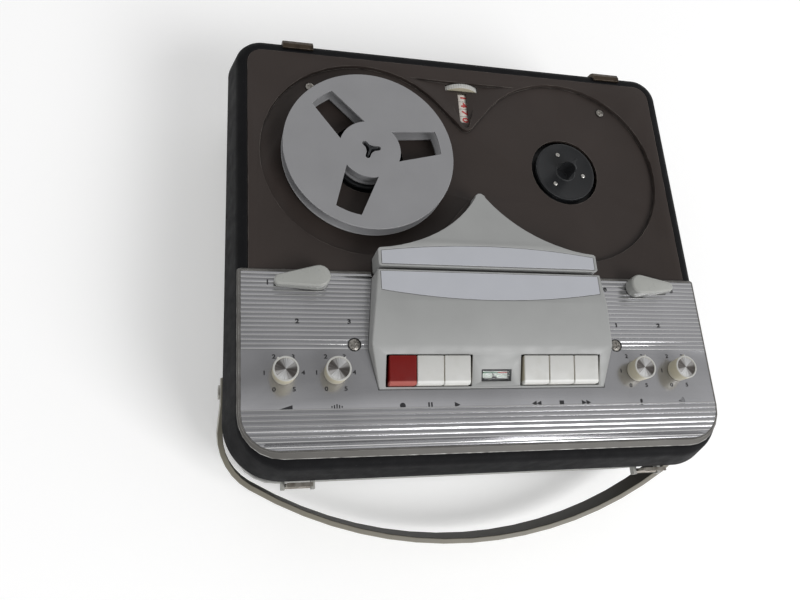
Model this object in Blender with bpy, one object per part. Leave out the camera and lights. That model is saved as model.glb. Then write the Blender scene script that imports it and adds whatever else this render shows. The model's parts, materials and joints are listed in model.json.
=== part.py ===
"""Portable reel-to-reel tape recorder with its lid off.

Case, deck, control panel, keys, reel, tape drive, electrics and a bail handle.
Metres, +Z up, -Y towards the user. The origin is the middle of the bounding box, on the table.
"""

from math import acos, asin, atan2, cos, degrees, hypot, pi, radians, sin

import bmesh
import bpy
from mathutils import Matrix, Vector

# Clearances and fineness
GAP = 0.0003  # between pieces that touch
RUNNING = 0.0003  # around a shaft or a pin
OVERRUN = 0.002  # how far a cutter runs past the face that it opens
CORNER_STEPS = 6
FINE_SIDES = 32
ROUND_SIDES = 20
SMALL_SIDES = 10
HIDDEN_SIDES = 12  # of round pieces inside the case
SMOOTH_ANGLE = 35.0
CHAMFER_ANGLE = 40.0

# Case: a black rim that flares out to its foot, and a grey shell with draft under it
CASE_WIDTH = 0.419
CASE_DEPTH = 0.3802
DECK_HEIGHT = 0.128  # of the deck's top face over the table
RIM_WIDTH = 0.0145  # in plan, from the deck's edge out to the rim's foot
RIM_FLAT = 0.004
RIM_SHOULDER = 0.0075
RIM_SHOULDER_DROP = 0.0015
RIM_BROW = 0.0095
RIM_BROW_DROP = 0.005
RIM_DROP = 0.028
RIM_SPLAY = 0.004  # how far the rim's foot spreads sideways, from nothing at the rear to this at the front
CASE_WALL = 0.003
DECK_FRONT_RADIUS = 0.0315
DECK_REAR_RADIUS = 0.0135
LEDGE_REACH = 0.005  # the rim's inner ledge, which carries the deck
LEDGE_THICK = 0.003
SHELL_STEP = 0.001  # the shell's top edge stands this far inside the rim's foot
SHELL_DRAFT = 0.007
SHELL_FLANGE_REACH = 0.0190
SHELL_FLANGE_THICK = 0.003
BASE_THICK = 0.003
VENT_COUNT = 6
VENT_LENGTH = 0.060
VENT_WIDTH = 0.0045
VENT_PITCH = 0.014
VENT_ROW_X = 0.060
VENT_ROW_Y = 0.030
FOOT_HEIGHT = 0.006
FOOT_RADIUS = 0.010
FOOT_TAPER = 0.0015
FOOT_SIDE_INSET = 0.045  # from the deck's side edge to the foot's middle
FOOT_INSET = 0.008  # from the deck's front or rear edge to the foot's middle
FOOT_STUD_RADIUS = 0.002
FOOT_STUD_SPARE = 0.001  # the stud's length over the shell's flange

# Deck: a plate with a figure-eight recess and a wedge-shaped counter pocket
DECK_THICK = 0.0065
HUB_FROM_FRONT = 0.2525  # from the deck's front edge back to the line of the two spindles
HUB_SPACING = 0.188
RECESS_RADIUS = 0.0912
RECESS_DEPTH = 0.004
NOSE_REACH = 0.034  # from the spindle line to the tip of either nose between the two circles
NOSE_RADIUS = 0.0065
POCKET_RIDGE = 0.0025  # the ridge left between recess and counter pocket
POCKET_REACH = 0.084  # from the spindle line to the pocket's rear edge
POCKET_DEPTH = 0.003
POCKET_FLOOR_SHARE = 0.46  # the pocket floor's width, as a share of its mouth's
TURNTABLE_HOLE_RADIUS = 0.033

# Counter: number wheels and a thumbwheel on one axis that runs front to back
COUNTER_AXIS_DEPTH = 0.0200
NUMBER_RADIUS = 0.0153
NUMBER_COUNT = 4
NUMBER_WIDTH = 0.0078
NUMBER_GROOVE = 0.0006
NUMBER_FRONT = 0.0435  # from the spindle line to the first wheel
NUMBER_SLOT_WIDTH = 0.0084
NUMBER_SKIN = 0.0042  # the deck left over the number wheels
THUMB_RADIUS = 0.0221
THUMB_WIDTH = 0.0045
THUMB_SPACE = 0.0024
THUMB_SLOT_HALF = 0.0157
UNDERCUT_HALF = 0.0090  # of the hollow under the deck, at the number wheels
THUMB_UNDERCUT_HALF = 0.0185
COUNTER_SHAFT_RADIUS = 0.0020
BRACKET_THICK = 0.0015
BRACKET_HALF = 0.0120
BRACKET_MARGIN = 0.0015

# Turntables
TURNTABLE_RADIUS = 0.029
TURNTABLE_TOP = 0.0025  # below the deck's top face
TURNTABLE_THICK = 0.0035
TURNTABLE_HUB_RADIUS = 0.008
TURNTABLE_SHAFT_RADIUS = 0.004
DRIVE_WHEEL_RADIUS = 0.034
DRIVE_WHEEL_TOP = 0.012
DRIVE_WHEEL_THICK = 0.006
SPINDLE_HEIGHT = 0.0170
SPINDLE_CORE = 0.0034
SPINDLE_LOBE = 0.0085
SPINDLE_HALF_WIDTH = 0.0016
LOBE_COUNT = 3
LOBE_STEPS = 4
STUD_RADIUS = 0.0020
STUD_HEIGHT = 0.0009
STUD_CIRCLE = 0.0177
BEARING_RADIUS = 0.009
BEARING_BELOW = 0.006
LEFT_SPINDLE_ANGLE = 10.0
RIGHT_SPINDLE_ANGLE = 48.0

# Reel
REEL_RADIUS = 0.0735
REEL_HEIGHT = 0.0139
REEL_FLANGE = 0.0015
REEL_HUB_RADIUS = 0.024
REEL_HUB_BAND = 0.0024  # of the flange, from the hub out to the windows
REEL_RIM_BAND = 0.0110  # of the flange, from the windows out to its edge
REEL_WINDOW_INNER_ANGLE = 32.5
REEL_WINDOW_OUTER_ANGLE = 10.3
REEL_HOLE_CORE = 0.0042
REEL_HOLE_LOBE = 0.0093
REEL_HOLE_HALF_WIDTH = 0.0022

# Control panel: a ribbed aluminium sheet in a plastic frame
PANEL_SIDE_LAP = 0.0085  # the frame laps this far over the deck's side edge
PANEL_FRONT_LAP = 0.0015  # the frame laps this far over the deck's front edge
PANEL_DEPTH = 0.148
PANEL_RADIUS = 0.034
PANEL_REAR_RADIUS = 0.003
PANEL_SIDE_BEVEL = 0.0015
PANEL_FRONT_BEVEL = 0.0045
PANEL_LIP = 0.0012
FRAME_FLOOR = 0.0011
FRAME_HEIGHT = 0.0019
SHEET_THICK = 0.0006
RIB_HEIGHT = 0.0004
RIB_WIDTH = 0.0013
UPPER_RIB_PITCH = 0.00357
UPPER_RIB_COUNT = 18
UPPER_RIB_START = 0.0047  # behind the front of the panel's rear edge, to the first rib
LOWER_RIB_PITCH = 0.0039
LOWER_RIB_COUNT = 9
LOWER_RIB_START = 0.0357  # from the frame's front edge to the last rib

# Places in either side field of the panel, as shares of the way from the cover's widest line to
# the deck's edge
SCREW_SHARE = 0.1174
KNOB_INNER_SHARE = 0.2880
SELECTOR_SHARE = 0.4130
KNOB_OUTER_SHARE = 0.7152

# Cross-head screws
PANEL_SCREW_Y = 0.0860  # from the frame's front edge
PANEL_SCREW_HEAD = 0.0047
DECK_SCREW_X = 0.047  # beyond the spindle, sideways
DECK_SCREW_Y = 0.067  # behind the spindle line
DECK_SCREW_HEAD = 0.0038
SCREW_HEAD_HEIGHT = 0.0014
SCREW_SHANK_RADIUS = 0.0016
SCREW_SHANK_LENGTH = 0.004
SCREW_CROSS_WIDTH = 0.0009
SCREW_CROSS_DEPTH = 0.0007
SCREW_CROSS_SHARE = 1.2  # the cross's length, as a share of the head's radius
SCREW_DOME_SHARE = 0.62  # the flat top's radius, as a share of the head's
SCREW_WELL_CLEARANCE = 0.0008

# Head cover, in two halves with the tape slot between them
COVER_FRONT_REACH = 0.2040  # from the spindle line forward to the cover's foot
COVER_SLOT_REACH = 0.1116  # from the spindle line to the front half's rear face
TAPE_SLOT = 0.0026
COVER_HEIGHT = 0.0227
COVER_CREST_LENGTH = 0.026  # the flat top of the front half
COVER_BEVEL_REACH = 0.0594  # from the slot to the line where the cover turns steeper
COVER_BEVEL_HEIGHT = 0.0155
COVER_FOOT_HEIGHT = 0.0026
COVER_CHEEK = 0.0053  # at the cover's foot, outside either key well
COVER_SLOT_FLARE = 0.0005  # how far the cover is wider on either side at the slot than at its foot
COVER_BEVEL_FLARE = 0.0065  # and at the line where it turns steeper
COVER_WALL = 0.0020
COVER_EDGE = 0.0008  # chamfer
HEAD_WINDOW_INSET = 0.017  # from the cover's side at the slot
HEAD_WINDOW_TOP = 0.0190
BAR_INSET = 0.0015  # from the front half's side at the slot
BAR_DEPTH = 0.0155
BAR_END_CHAMFER = 0.0015
FIN_TIP_REACH = 0.0360  # from the spindle line forward to the fin's tip
FIN_TIP_HALF = 0.0048
FIN_TIP_STEPS = 5
FIN_SAG = 0.0120
FIN_STEPS = 12
FIN_TIP_HEIGHT = 0.0130
FIN_SLOPE_START = 0.0215  # behind the bar's front face
PLATE_THICK = 0.0007
PLATE_POCKET = 0.0007
PLATE_MARGIN = 0.0016
PLATE_END_INSET = 0.0025
FRONT_PLATE_END = 0.0175  # depth at its ends, and at its middle
FRONT_PLATE_MIDDLE = 0.0248
REAR_PLATE_END = 0.0130
REAR_PLATE_MIDDLE = 0.0195
PLATE_STEPS = 12

# Keys
KEY_COUNT = 3  # in each well
KEY_PITCH = 0.02225
KEY_SPACE = 0.0004
WELL_INNER = 0.0208
WELL_SIDE_SPACE = 0.001825  # beside the outer keys
WELL_REAR = 0.0255  # from the cover's foot back to the well's rear edge
WELL_FRONT = 0.0020
KEY_LENGTH = 0.0220
KEY_FRONT = 0.0027  # from the cover's foot back to the key's front face
KEY_REAR_HEIGHT = 0.0135
KEY_FRONT_HEIGHT = 0.0085
KEY_NOSE = 0.0018
KEY_DEPTH = 0.0070  # below the deck's top face
KEY_EDGE = 0.0006
KEY_HOLE_MARGIN = 0.0022
KEY_AXIS_REACH = 0.0510  # from the cover's foot back to the key shaft
KEY_AXIS_HEIGHT = 0.0078
KEY_SHAFT_RADIUS = 0.0020
KEY_EYE_RADIUS = 0.0044
KEY_ARM_WIDTH = 0.0080
KEY_ARM_HEIGHT = 0.0038

# Level meter, set square to the cover's steep front
METER_WIDTH = 0.0254
METER_HEIGHT = 0.0096
METER_REACH = 0.0105  # up the steep front from the cover's foot to the window's middle
METER_DEPTH = 0.0130
METER_SET = 0.0008
METER_WALL = 0.0012
METER_POCKET = 0.0030
METER_GLASS = 0.0008
METER_HOLE_HALF = 0.0140
METER_HOLE_FRONT = 0.0020
METER_HOLE_LENGTH = 0.0200
NEEDLE_HUB_RADIUS = 0.0011
NEEDLE_WIDTH = 0.0005
NEEDLE_THICK = 0.0005
NEEDLE_REST_ANGLE = 40.0

# Knobs
KNOB_Y = 0.0637  # from the frame's front edge
KNOB_HEIGHT = 0.0142
KNOB_BASE_RADIUS = 0.0090
KNOB_TOP_RADIUS = 0.0097
KNOB_CAP_RADIUS = 0.0083
KNOB_CAP_BEVEL = 0.0003
KNOB_CAP_DEPTH = 0.0004
KNOB_CAP_DISH = 0.0004
KNOB_CAP_PIN = 0.0015
POINTER_WIDTH = 0.0026
POINTER_REACH = 0.0011
POINTER_HEIGHT = 0.0040
VOLUME_POINTER = 124.0
TONE_POINTER = 58.0
MICROPHONE_POINTER = 80.0
RADIO_POINTER = 90.0
SHAFT_RADIUS = 0.0030
POT_RADIUS = 0.0115
POT_DEPTH = 0.0120
POT_FLOOR = 0.0010
POT_STRIP_END = 0.0027  # the strip runs this far past the outer pots
POT_STRIP_THICK = 0.0015
SHAFT_END_SPACE = 0.0010

# Selector levers
SELECTOR_Y = 0.1385  # from the frame's front edge
SELECTOR_HEIGHT = 0.0120
SELECTOR_TIP_HEIGHT = 0.0080
SELECTOR_RADIUS = 0.0088
SELECTOR_TIP_RADIUS = 0.0042
SELECTOR_LENGTH = 0.0305  # between the two end arcs' centres
SELECTOR_BASE = 0.0030  # the skirt under the lever
SELECTOR_LEFT_ANGLE = 184.0
SELECTOR_RIGHT_ANGLE = 0.0
SELECTOR_SHAFT_RADIUS = 0.0032
SELECTOR_SHAFT_DEPTH = 0.0140

# Chassis and what it carries
CHASSIS_DEPTH = 0.028  # of its top face, below the deck's top face
CHASSIS_THICK = 0.002
CHASSIS_INSET = 0.023  # from the deck's side edge
CHASSIS_FRONT_REACH = 0.180  # from the spindle line forward
CHASSIS_REAR_REACH = 0.034
POST_RADIUS = 0.004
POST_INSET = 0.007  # from the chassis plate's side edge
POST_FRONT_REACH = 0.165
POST_REAR_REACH = 0.026
CAPSTAN_X = 0.045
CAPSTAN_REACH = 0.0085  # from the front half's rear face forward
CAPSTAN_RADIUS = 0.0025
CAPSTAN_TOP = 0.0170
FLYWHEEL_RADIUS = 0.044
FLYWHEEL_TOP = 0.012
FLYWHEEL_THICK = 0.010
FLYWHEEL_WEB = 0.004
FLYWHEEL_RIM = 0.008
FLYWHEEL_BOSS_RADIUS = 0.007
MOTOR_X = -0.072
MOTOR_REACH = 0.125
MOTOR_RADIUS = 0.034
MOTOR_LENGTH = 0.050
MOTOR_END = 0.006
MOTOR_SHAFT_RADIUS = 0.002
MOTOR_SHAFT_SEAT = 0.008
PULLEY_RADIUS = 0.0075
PULLEY_LIP = 0.0015
BELT_WIDTH = 0.004
BELT_THICK = 0.001
BELT_STEPS = 12

# Head bridge, heads and pinch roller, all under the front half of the cover
BRIDGE_THICK = 0.002
BRIDGE_INSET = 0.0045  # from the cover's side at the slot
BRIDGE_LENGTH = 0.046
BRIDGE_FROM_SLOT = 0.0025
LUG_THICK = 0.0030
LUG_HEIGHT = 0.0130
HEAD_WIDTH = 0.014
HEAD_DEPTH = 0.012
HEAD_TOP = 0.0160
HEAD_SETBACK = 0.0032
HEAD_GROOVE = 0.0010
ERASE_HEAD_X = -0.020
RECORD_HEAD_X = 0.012
GUIDE_XS_SHARES = (-0.62, -0.02, 0.78)  # of HEAD_WINDOW_HALF
GUIDE_RADIUS = 0.0018
GUIDE_COLLAR = 0.0032
GUIDE_TOP = 0.0170
ROLLER_RADIUS = 0.009
ROLLER_WIDTH = 0.011
ROLLER_SPACE = 0.0035  # from the capstan, with the arm drawn back
ARM_REACH_X = 0.027
ARM_REACH_Y = 0.004
ARM_THICK = 0.0018
ARM_END_RADIUS = 0.0045
ARM_STUD_RADIUS = 0.0020

# Electrics
TRANSFORMER_INSET = 0.032  # from the chassis plate's left edge to its middle
TRANSFORMER_REACH = 0.050  # from the spindle line forward
TRANSFORMER_WIDTH = 0.050
TRANSFORMER_DEPTH = 0.062
TRANSFORMER_HEIGHT = 0.050
COIL_WIDTH = 0.036
COIL_DEPTH = 0.078
COIL_HEIGHT = 0.034
BOARD_X = 0.040
BOARD_WIDTH = 0.150
BOARD_DEPTH = 0.060
BOARD_THICK = 0.002
BOARD_HEIGHT = 0.036  # of its lower face, over the base cover
BOARD_FROM_FRONT = 0.018
BOARD_POST_RADIUS = 0.003
BOARD_POST_INSET = 0.006
VALVE_COUNT = 4
VALVE_RADIUS = 0.0095
VALVE_BULB_RADIUS = 0.0080
VALVE_HEIGHT = 0.038
VALVE_BASE = 0.008
VALVE_SHOULDER = 0.006
VALVE_TIP_RADIUS = 0.003
SPEAKER_X = 0.085
SPEAKER_REACH = 0.030  # from the spindle line forward
SPEAKER_RADIUS = 0.062
SPEAKER_FRAME = 0.004
SPEAKER_CONE = 0.020
SPEAKER_MAGNET_RADIUS = 0.026
SPEAKER_MAGNET = 0.018
INLET_X = -0.105
INLET_HEIGHT = 0.050  # of its middle, over the table
INLET_WIDTH = 0.030
INLET_TALL = 0.022
INLET_DEPTH = 0.022
INLET_WALL = 0.003
INLET_CAVITY = 0.016
INLET_PIN_RADIUS = 0.0020
INLET_PIN_LENGTH = 0.012
INLET_PIN_SPREAD = 0.0085

# Handle: a flat band on edge, bent round the front and pivoted on the side walls
HANDLE_REACH = 0.0525  # in front of the rim's foot
HANDLE_OUT = 0.0058  # at its widest, outside the case
HANDLE_BAND = 0.0045
HANDLE_TALL = 0.026
HANDLE_TILT = 14.0
HANDLE_DROP = 0.088  # of its highest front edge, below the deck's top face
HANDLE_PIVOT_BACK = 0.078  # from the rim's front foot
HANDLE_LEG_OUT = 0.0035  # of the legs' outer faces at the pivots, outside the case
HANDLE_EYE = 0.0095  # the straight length in front of the pivot
HANDLE_CORNER_WIDTH = 0.0253  # of the sharper bend at either end of the front arc
HANDLE_FRONT_SAG = 0.0535  # how far the front arc's ends lie behind its middle
HANDLE_ARC_STEPS = 16
HANDLE_TAIL = 0.012
HANDLE_END_CHAMFER = 0.006
PIVOT_RADIUS = 0.003
PIVOT_BOSS_RADIUS = 0.0075
PIVOT_HEAD_RADIUS = 0.0060
PIVOT_HEAD = 0.0016
PIVOT_NUT_RADIUS = 0.006
PIVOT_NUT = 0.003

# Latches at the front and lid lugs at the rear
LATCH_INSET = 0.041  # from the deck's side edge to the latch's middle
LATCH_WIDTH = 0.020
LATCH_TALL = 0.017
LATCH_THICK = 0.0018
LATCH_BARREL_RADIUS = 0.0022
LATCH_AXIS_DROP = 0.020  # below the rim's foot
LATCH_AXIS_OUT = 0.0160  # outside the deck's edge
LATCH_EAR_THICK = 0.003
LATCH_EAR_HALF = 0.0030
LATCH_LIP = 0.0016
LUG_INSET = 0.044  # from the deck's side edge to the lug's middle
LUG_WIDTH = 0.027
LUG_BACK_SHARE = 0.62  # where the lug starts, as a share of the rim's flat
LUG_PLATE = 0.0024

# Derived heights
RIM_FOOT_Z = DECK_HEIGHT - RIM_DROP
SHELL_TOP_Z = RIM_FOOT_Z - GAP
SHELL_BOTTOM_Z = FOOT_HEIGHT
BASE_Z = SHELL_BOTTOM_Z + GAP
BASE_TOP_Z = BASE_Z + BASE_THICK
FLANGE_Z = BASE_TOP_Z + GAP
DECK_BOTTOM_Z = DECK_HEIGHT - DECK_THICK
LEDGE_Z = DECK_BOTTOM_Z - GAP
CHASSIS_TOP_Z = DECK_HEIGHT - CHASSIS_DEPTH
CHASSIS_Z = CHASSIS_TOP_Z - CHASSIS_THICK
UNDER_CHASSIS_Z = CHASSIS_Z - GAP
ON_DECK_Z = DECK_HEIGHT + GAP
FRAME_FLOOR_Z = ON_DECK_Z + FRAME_FLOOR
FRAME_TOP_Z = ON_DECK_Z + FRAME_HEIGHT
SHEET_Z = FRAME_FLOOR_Z + GAP
SHEET_TOP_Z = SHEET_Z + SHEET_THICK
ON_SHEET_Z = SHEET_TOP_Z + GAP
BRIDGE_TOP_Z = ON_DECK_Z + BRIDGE_THICK

# Derived widths of the key wells and the head cover
WELL_OUTER = WELL_INNER + KEY_COUNT * KEY_PITCH + 2 * WELL_SIDE_SPACE
COVER_FOOT_HALF = WELL_OUTER + COVER_CHEEK
COVER_SLOT_HALF = COVER_FOOT_HALF + COVER_SLOT_FLARE
COVER_BEVEL_HALF = COVER_FOOT_HALF + COVER_BEVEL_FLARE
HEAD_WINDOW_HALF = COVER_SLOT_HALF - HEAD_WINDOW_INSET
BAR_HALF = COVER_SLOT_HALF - BAR_INSET
BRIDGE_HALF = COVER_SLOT_HALF - BRIDGE_INSET

# Derived places in plan
CASE_FRONT = (HANDLE_REACH - CASE_DEPTH) / 2
DECK_HALF = CASE_WIDTH / 2 - RIM_WIDTH
DECK_FRONT = CASE_FRONT + RIM_WIDTH
DECK_REAR = CASE_FRONT + CASE_DEPTH - RIM_WIDTH
HUB_X = HUB_SPACING / 2
HUB_Y = DECK_FRONT + HUB_FROM_FRONT
PANEL_FRONT = DECK_FRONT - PANEL_FRONT_LAP
PANEL_REAR = PANEL_FRONT + PANEL_DEPTH
COVER_FOOT_Y = HUB_Y - COVER_FRONT_REACH
COVER_SLOT_Y = HUB_Y - COVER_SLOT_REACH
BAR_FRONT_Y = COVER_SLOT_Y + TAPE_SLOT
BAR_REAR_Y = BAR_FRONT_Y + BAR_DEPTH
KEY_AXIS_Y = COVER_FOOT_Y + KEY_AXIS_REACH
KEY_AXIS_Z = DECK_HEIGHT + KEY_AXIS_HEIGHT
CAPSTAN_Y = COVER_SLOT_Y - CAPSTAN_REACH
MOTOR_Y = HUB_Y - MOTOR_REACH
PANEL_HALF = DECK_HALF + PANEL_SIDE_LAP
CHASSIS_HALF = DECK_HALF - CHASSIS_INSET
POST_X = CHASSIS_HALF - POST_INSET
TRANSFORMER_X = TRANSFORMER_INSET - CHASSIS_HALF
FOOT_X = DECK_HALF - FOOT_SIDE_INSET
LATCH_X = DECK_HALF - LATCH_INSET
LUG_X = DECK_HALF - LUG_INSET
HANDLE_HALF = CASE_WIDTH / 2 + HANDLE_OUT
HANDLE_LEG_HALF = CASE_WIDTH / 2 + HANDLE_LEG_OUT
HANDLE_FRONT_HALF = HANDLE_HALF - HANDLE_CORNER_WIDTH

FINISHES = {
    "black_leatherette": ((0.017, 0.018, 0.020), 0.62, 0.0),
    "grey_shell": ((0.42, 0.42, 0.40), 0.48, 0.0),
    "brown_deck": ((0.046, 0.036, 0.031), 0.50, 0.0),
    "grey_plastic": ((0.42, 0.43, 0.40), 0.42, 0.0),
    "ivory_plastic": ((0.68, 0.67, 0.58), 0.38, 0.0),
    "red_plastic": ((0.24, 0.012, 0.012), 0.36, 0.0),
    "reel_plastic": ((0.30, 0.30, 0.32), 0.45, 0.0),
    "black_plastic": ((0.020, 0.023, 0.026), 0.42, 0.0),
    "satin_plate": ((0.46, 0.47, 0.50), 0.34, 0.1),
    "ribbed_aluminium": ((0.52, 0.52, 0.54), 0.34, 0.85),
    "bright_steel": ((0.56, 0.56, 0.56), 0.30, 1.0),
    "zinc_plate": ((0.50, 0.50, 0.47), 0.42, 1.0),
    "rubber": ((0.015, 0.015, 0.015), 0.85, 0.0),
    "clear_window": ((0.80, 0.82, 0.80), 0.05, 0.0),
    "circuit_board": ((0.26, 0.14, 0.05), 0.60, 0.0),
    "speaker_frame": ((0.05, 0.05, 0.055), 0.60, 0.2),
    "number_wheel": ((0.75, 0.72, 0.68), 0.50, 0.0),
    "handle_band": ((0.30, 0.30, 0.26), 0.50, 0.0),
    "needle_black": ((0.02, 0.02, 0.02), 0.50, 0.0),
}

ALONG_X = Matrix.Rotation(pi / 2, 4, "Y")
ALONG_Y = Matrix.Rotation(-pi / 2, 4, "X")


def clear_scene():
    for old in list(bpy.data.objects):
        bpy.data.objects.remove(old, do_unlink=True)


def make_materials():
    materials = {}
    for name, (colour, roughness, metallic) in FINISHES.items():
        material = bpy.data.materials.new(name)
        material.use_nodes = True
        shader = material.node_tree.nodes["Principled BSDF"]
        shader.inputs["Base Color"].default_value = (*colour, 1.0)
        shader.inputs["Roughness"].default_value = roughness
        shader.inputs["Metallic"].default_value = metallic
        material.diffuse_color = (*colour, 1.0)
        materials[name] = material
    return materials


clear_scene()
MATERIALS = make_materials()


# Shape helpers: each adds one closed body to a bmesh
def add_sections(shape, sections, ring=False, place=None):
    """Bridges equal loops of points in order, and caps the two ends or joins them into a ring."""
    loops = []
    for section in sections:
        points = [Vector(point) for point in section]
        loops.append([shape.verts.new(place @ point if place else point) for point in points])
    pairs = list(zip(loops, loops[1:]))
    if ring:
        pairs.append((loops[-1], loops[0]))
    for low, high in pairs:
        for i in range(len(low)):
            j = (i + 1) % len(low)
            shape.faces.new((low[i], low[j], high[j], high[i]))
    if not ring:
        shape.faces.new(list(reversed(loops[0])))
        shape.faces.new(loops[-1])


def at_height(outline, z):
    return [(x, y, z) for x, y in outline]


def add_prism(shape, outline, low, high, place=None):
    add_sections(shape, [at_height(outline, low), at_height(outline, high)], place=place)


def add_box(shape, xs, ys, zs, place=None):
    outline = [(xs[0], ys[0]), (xs[1], ys[0]), (xs[1], ys[1]), (xs[0], ys[1])]
    add_prism(shape, outline, zs[0], zs[1], place)


def add_side_prism(shape, profile, left, right):
    """Extrudes a profile of (y, z) points along X."""
    add_sections(shape, [[(x, y, z) for y, z in profile] for x in (left, right)])


def circle(radius, sides, centre=(0.0, 0.0), turn=0.0):
    steps = [turn + 2 * pi * i / sides for i in range(sides)]
    return [(centre[0] + radius * cos(a), centre[1] + radius * sin(a)) for a in steps]


def arc(centre, radius, start, end, steps):
    """Points from the start to the end angle, in degrees, both included."""
    angles = [radians(start + (end - start) * i / steps) for i in range(steps + 1)]
    return [(centre[0] + radius * cos(a), centre[1] + radius * sin(a)) for a in angles]


def add_turned(shape, profile, sides, place=None, ring=False):
    """Turns (radius, z) points round Z. Its ends are flat faces, or it closes into a ring."""
    add_sections(shape, [at_height(circle(r, sides), z) for r, z in profile], ring, place)


def add_rod(shape, radius, low, high, sides, place=None):
    add_turned(shape, [(radius, low), (radius, high)], sides, place)


def moved(x, y, z=0.0):
    return Matrix.Translation((x, y, z))


def add_rods(shape, radius, places, low, high, sides=SMALL_SIDES):
    """Upright rods of one size at several places in plan."""
    for x, y in places:
        add_rod(shape, radius, low, high, sides, moved(x, y))


def span(middle, width):
    return (middle - width / 2, middle + width / 2)


def rounded_rectangle(xs, ys, front_radius, rear_radius):
    corners = [
        (xs[0] + front_radius, ys[0] + front_radius, front_radius, 180),
        (xs[1] - front_radius, ys[0] + front_radius, front_radius, 270),
        (xs[1] - rear_radius, ys[1] - rear_radius, rear_radius, 0),
        (xs[0] + rear_radius, ys[1] - rear_radius, rear_radius, 90),
    ]
    outline = []
    for x, y, radius, start in corners:
        outline += arc((x, y), radius, start, start + 90, CORNER_STEPS)
    return outline


def bulged_line(start, end, sag, steps):
    """A circular arc between two points. It bows to the left of the way from start to end by the sag."""
    start, end = Vector(start), Vector(end)
    half = (end - start).length / 2
    side = Vector((start.y - end.y, end.x - start.x)).normalized()
    radius = (half * half + sag * sag) / (2 * abs(sag))
    turn = 1 if sag > 0 else -1
    centre = (start + end) / 2 - side * turn * (radius - abs(sag))
    reach = asin(half / radius)
    across = side * turn * radius
    along = (end - start).normalized() * radius
    angles = [reach * (2 * i / steps - 1) for i in range(steps + 1)]
    return [tuple(centre + across * cos(a) + along * sin(a)) for a in angles]


def closed_mesh(name, shape):
    bmesh.ops.recalc_face_normals(shape, faces=shape.faces)
    mesh = bpy.data.meshes.new(name)
    shape.to_mesh(mesh)
    shape.free()
    mesh.shade_smooth()
    mesh.set_sharp_from_angle(angle=radians(SMOOTH_ANGLE))
    return mesh


def piece(name, finish, shape, at=(0.0, 0.0, 0.0), tilt=0.0, parent=None):
    """One named part at its own origin, tilted about X by some degrees."""
    obj = bpy.data.objects.new(name, closed_mesh(name, shape))
    obj.data.materials.append(MATERIALS[finish])
    bpy.context.scene.collection.objects.link(obj)
    obj.location = at
    obj.rotation_euler = (radians(tilt), 0.0, 0.0)
    obj.parent = parent
    return obj


def combine(target, shape, operation):
    """A Boolean with a hidden tool, whose points are in the target's own coordinates."""
    tool = bpy.data.objects.new(f"{target.name}_tool_{len(target.modifiers)}", closed_mesh("tool", shape))
    bpy.context.scene.collection.objects.link(tool)
    tool.parent = target
    tool.hide_render = True
    tool.display_type = "WIRE"
    modifier = target.modifiers.new(f"{operation.lower()}_{len(target.modifiers)}", "BOOLEAN")
    modifier.operation = operation
    modifier.solver = "EXACT"
    modifier.object = tool


def cut(target, shape):
    combine(target, shape, "DIFFERENCE")


def fuse(target, shape):
    combine(target, shape, "UNION")


def chamfer(target, width):
    modifier = target.modifiers.new("chamfer", "BEVEL")
    modifier.width = width
    modifier.segments = 1
    modifier.limit_method = "ANGLE"
    modifier.angle_limit = radians(CHAMFER_ANGLE)


# Outlines that several pieces share
def case_plan(out):
    """The deck's edge, moved outwards."""
    return rounded_rectangle(
        (-DECK_HALF - out, DECK_HALF + out),
        (DECK_FRONT - out, DECK_REAR + out),
        DECK_FRONT_RADIUS + out,
        DECK_REAR_RADIUS + out,
    )


def shell_out(z):
    """How far the grey shell's outer face stands outside the deck's edge at a height."""
    share = (SHELL_TOP_Z - z) / (SHELL_TOP_Z - SHELL_BOTTOM_Z)
    return RIM_WIDTH - SHELL_STEP - SHELL_DRAFT * share


def nose_angle(radius, nose_radius):
    """The angle on the recess circle, in degrees, where the nose's straight side leaves it."""
    nose_y = NOSE_REACH + NOSE_RADIUS
    across = hypot(HUB_X, nose_y)
    return degrees(atan2(nose_y, -HUB_X) - acos((radius + nose_radius) / across))


def recess_outline():
    """Two circles joined by a saddle between a rear and a front nose."""
    angle = nose_angle(RECESS_RADIUS, NOSE_RADIUS)
    nose_y = NOSE_REACH + NOSE_RADIUS
    right = arc((HUB_X, HUB_Y), RECESS_RADIUS, -angle, angle, FINE_SIDES)
    rear = arc((0.0, HUB_Y + nose_y), NOSE_RADIUS, angle - 180, -angle, CORNER_STEPS)
    left = arc((-HUB_X, HUB_Y), RECESS_RADIUS, 180 - angle, 180 + angle, FINE_SIDES)
    front = arc((0.0, HUB_Y - nose_y), NOSE_RADIUS, angle, 180 - angle, CORNER_STEPS)
    return right + rear + left + front


def pocket_outline(width_share=1.0):
    """The counter's wedge: concave sides along both circles, a round tip and a straight rear edge."""
    radius = RECESS_RADIUS + POCKET_RIDGE
    tip = NOSE_RADIUS - POCKET_RIDGE
    angle = nose_angle(radius, tip)
    rear = 180 - degrees(asin(POCKET_REACH / radius))
    nose_y = HUB_Y + NOSE_REACH + NOSE_RADIUS
    right = arc((HUB_X, HUB_Y), radius, rear, angle, CORNER_STEPS)
    tip_arc = arc((0.0, nose_y), tip, angle - 180, -angle, CORNER_STEPS)
    left = [(-x, y) for x, y in reversed(right)]
    outline = right + tip_arc + left
    return [(x * width_share, y) for x, y in outline]


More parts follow.
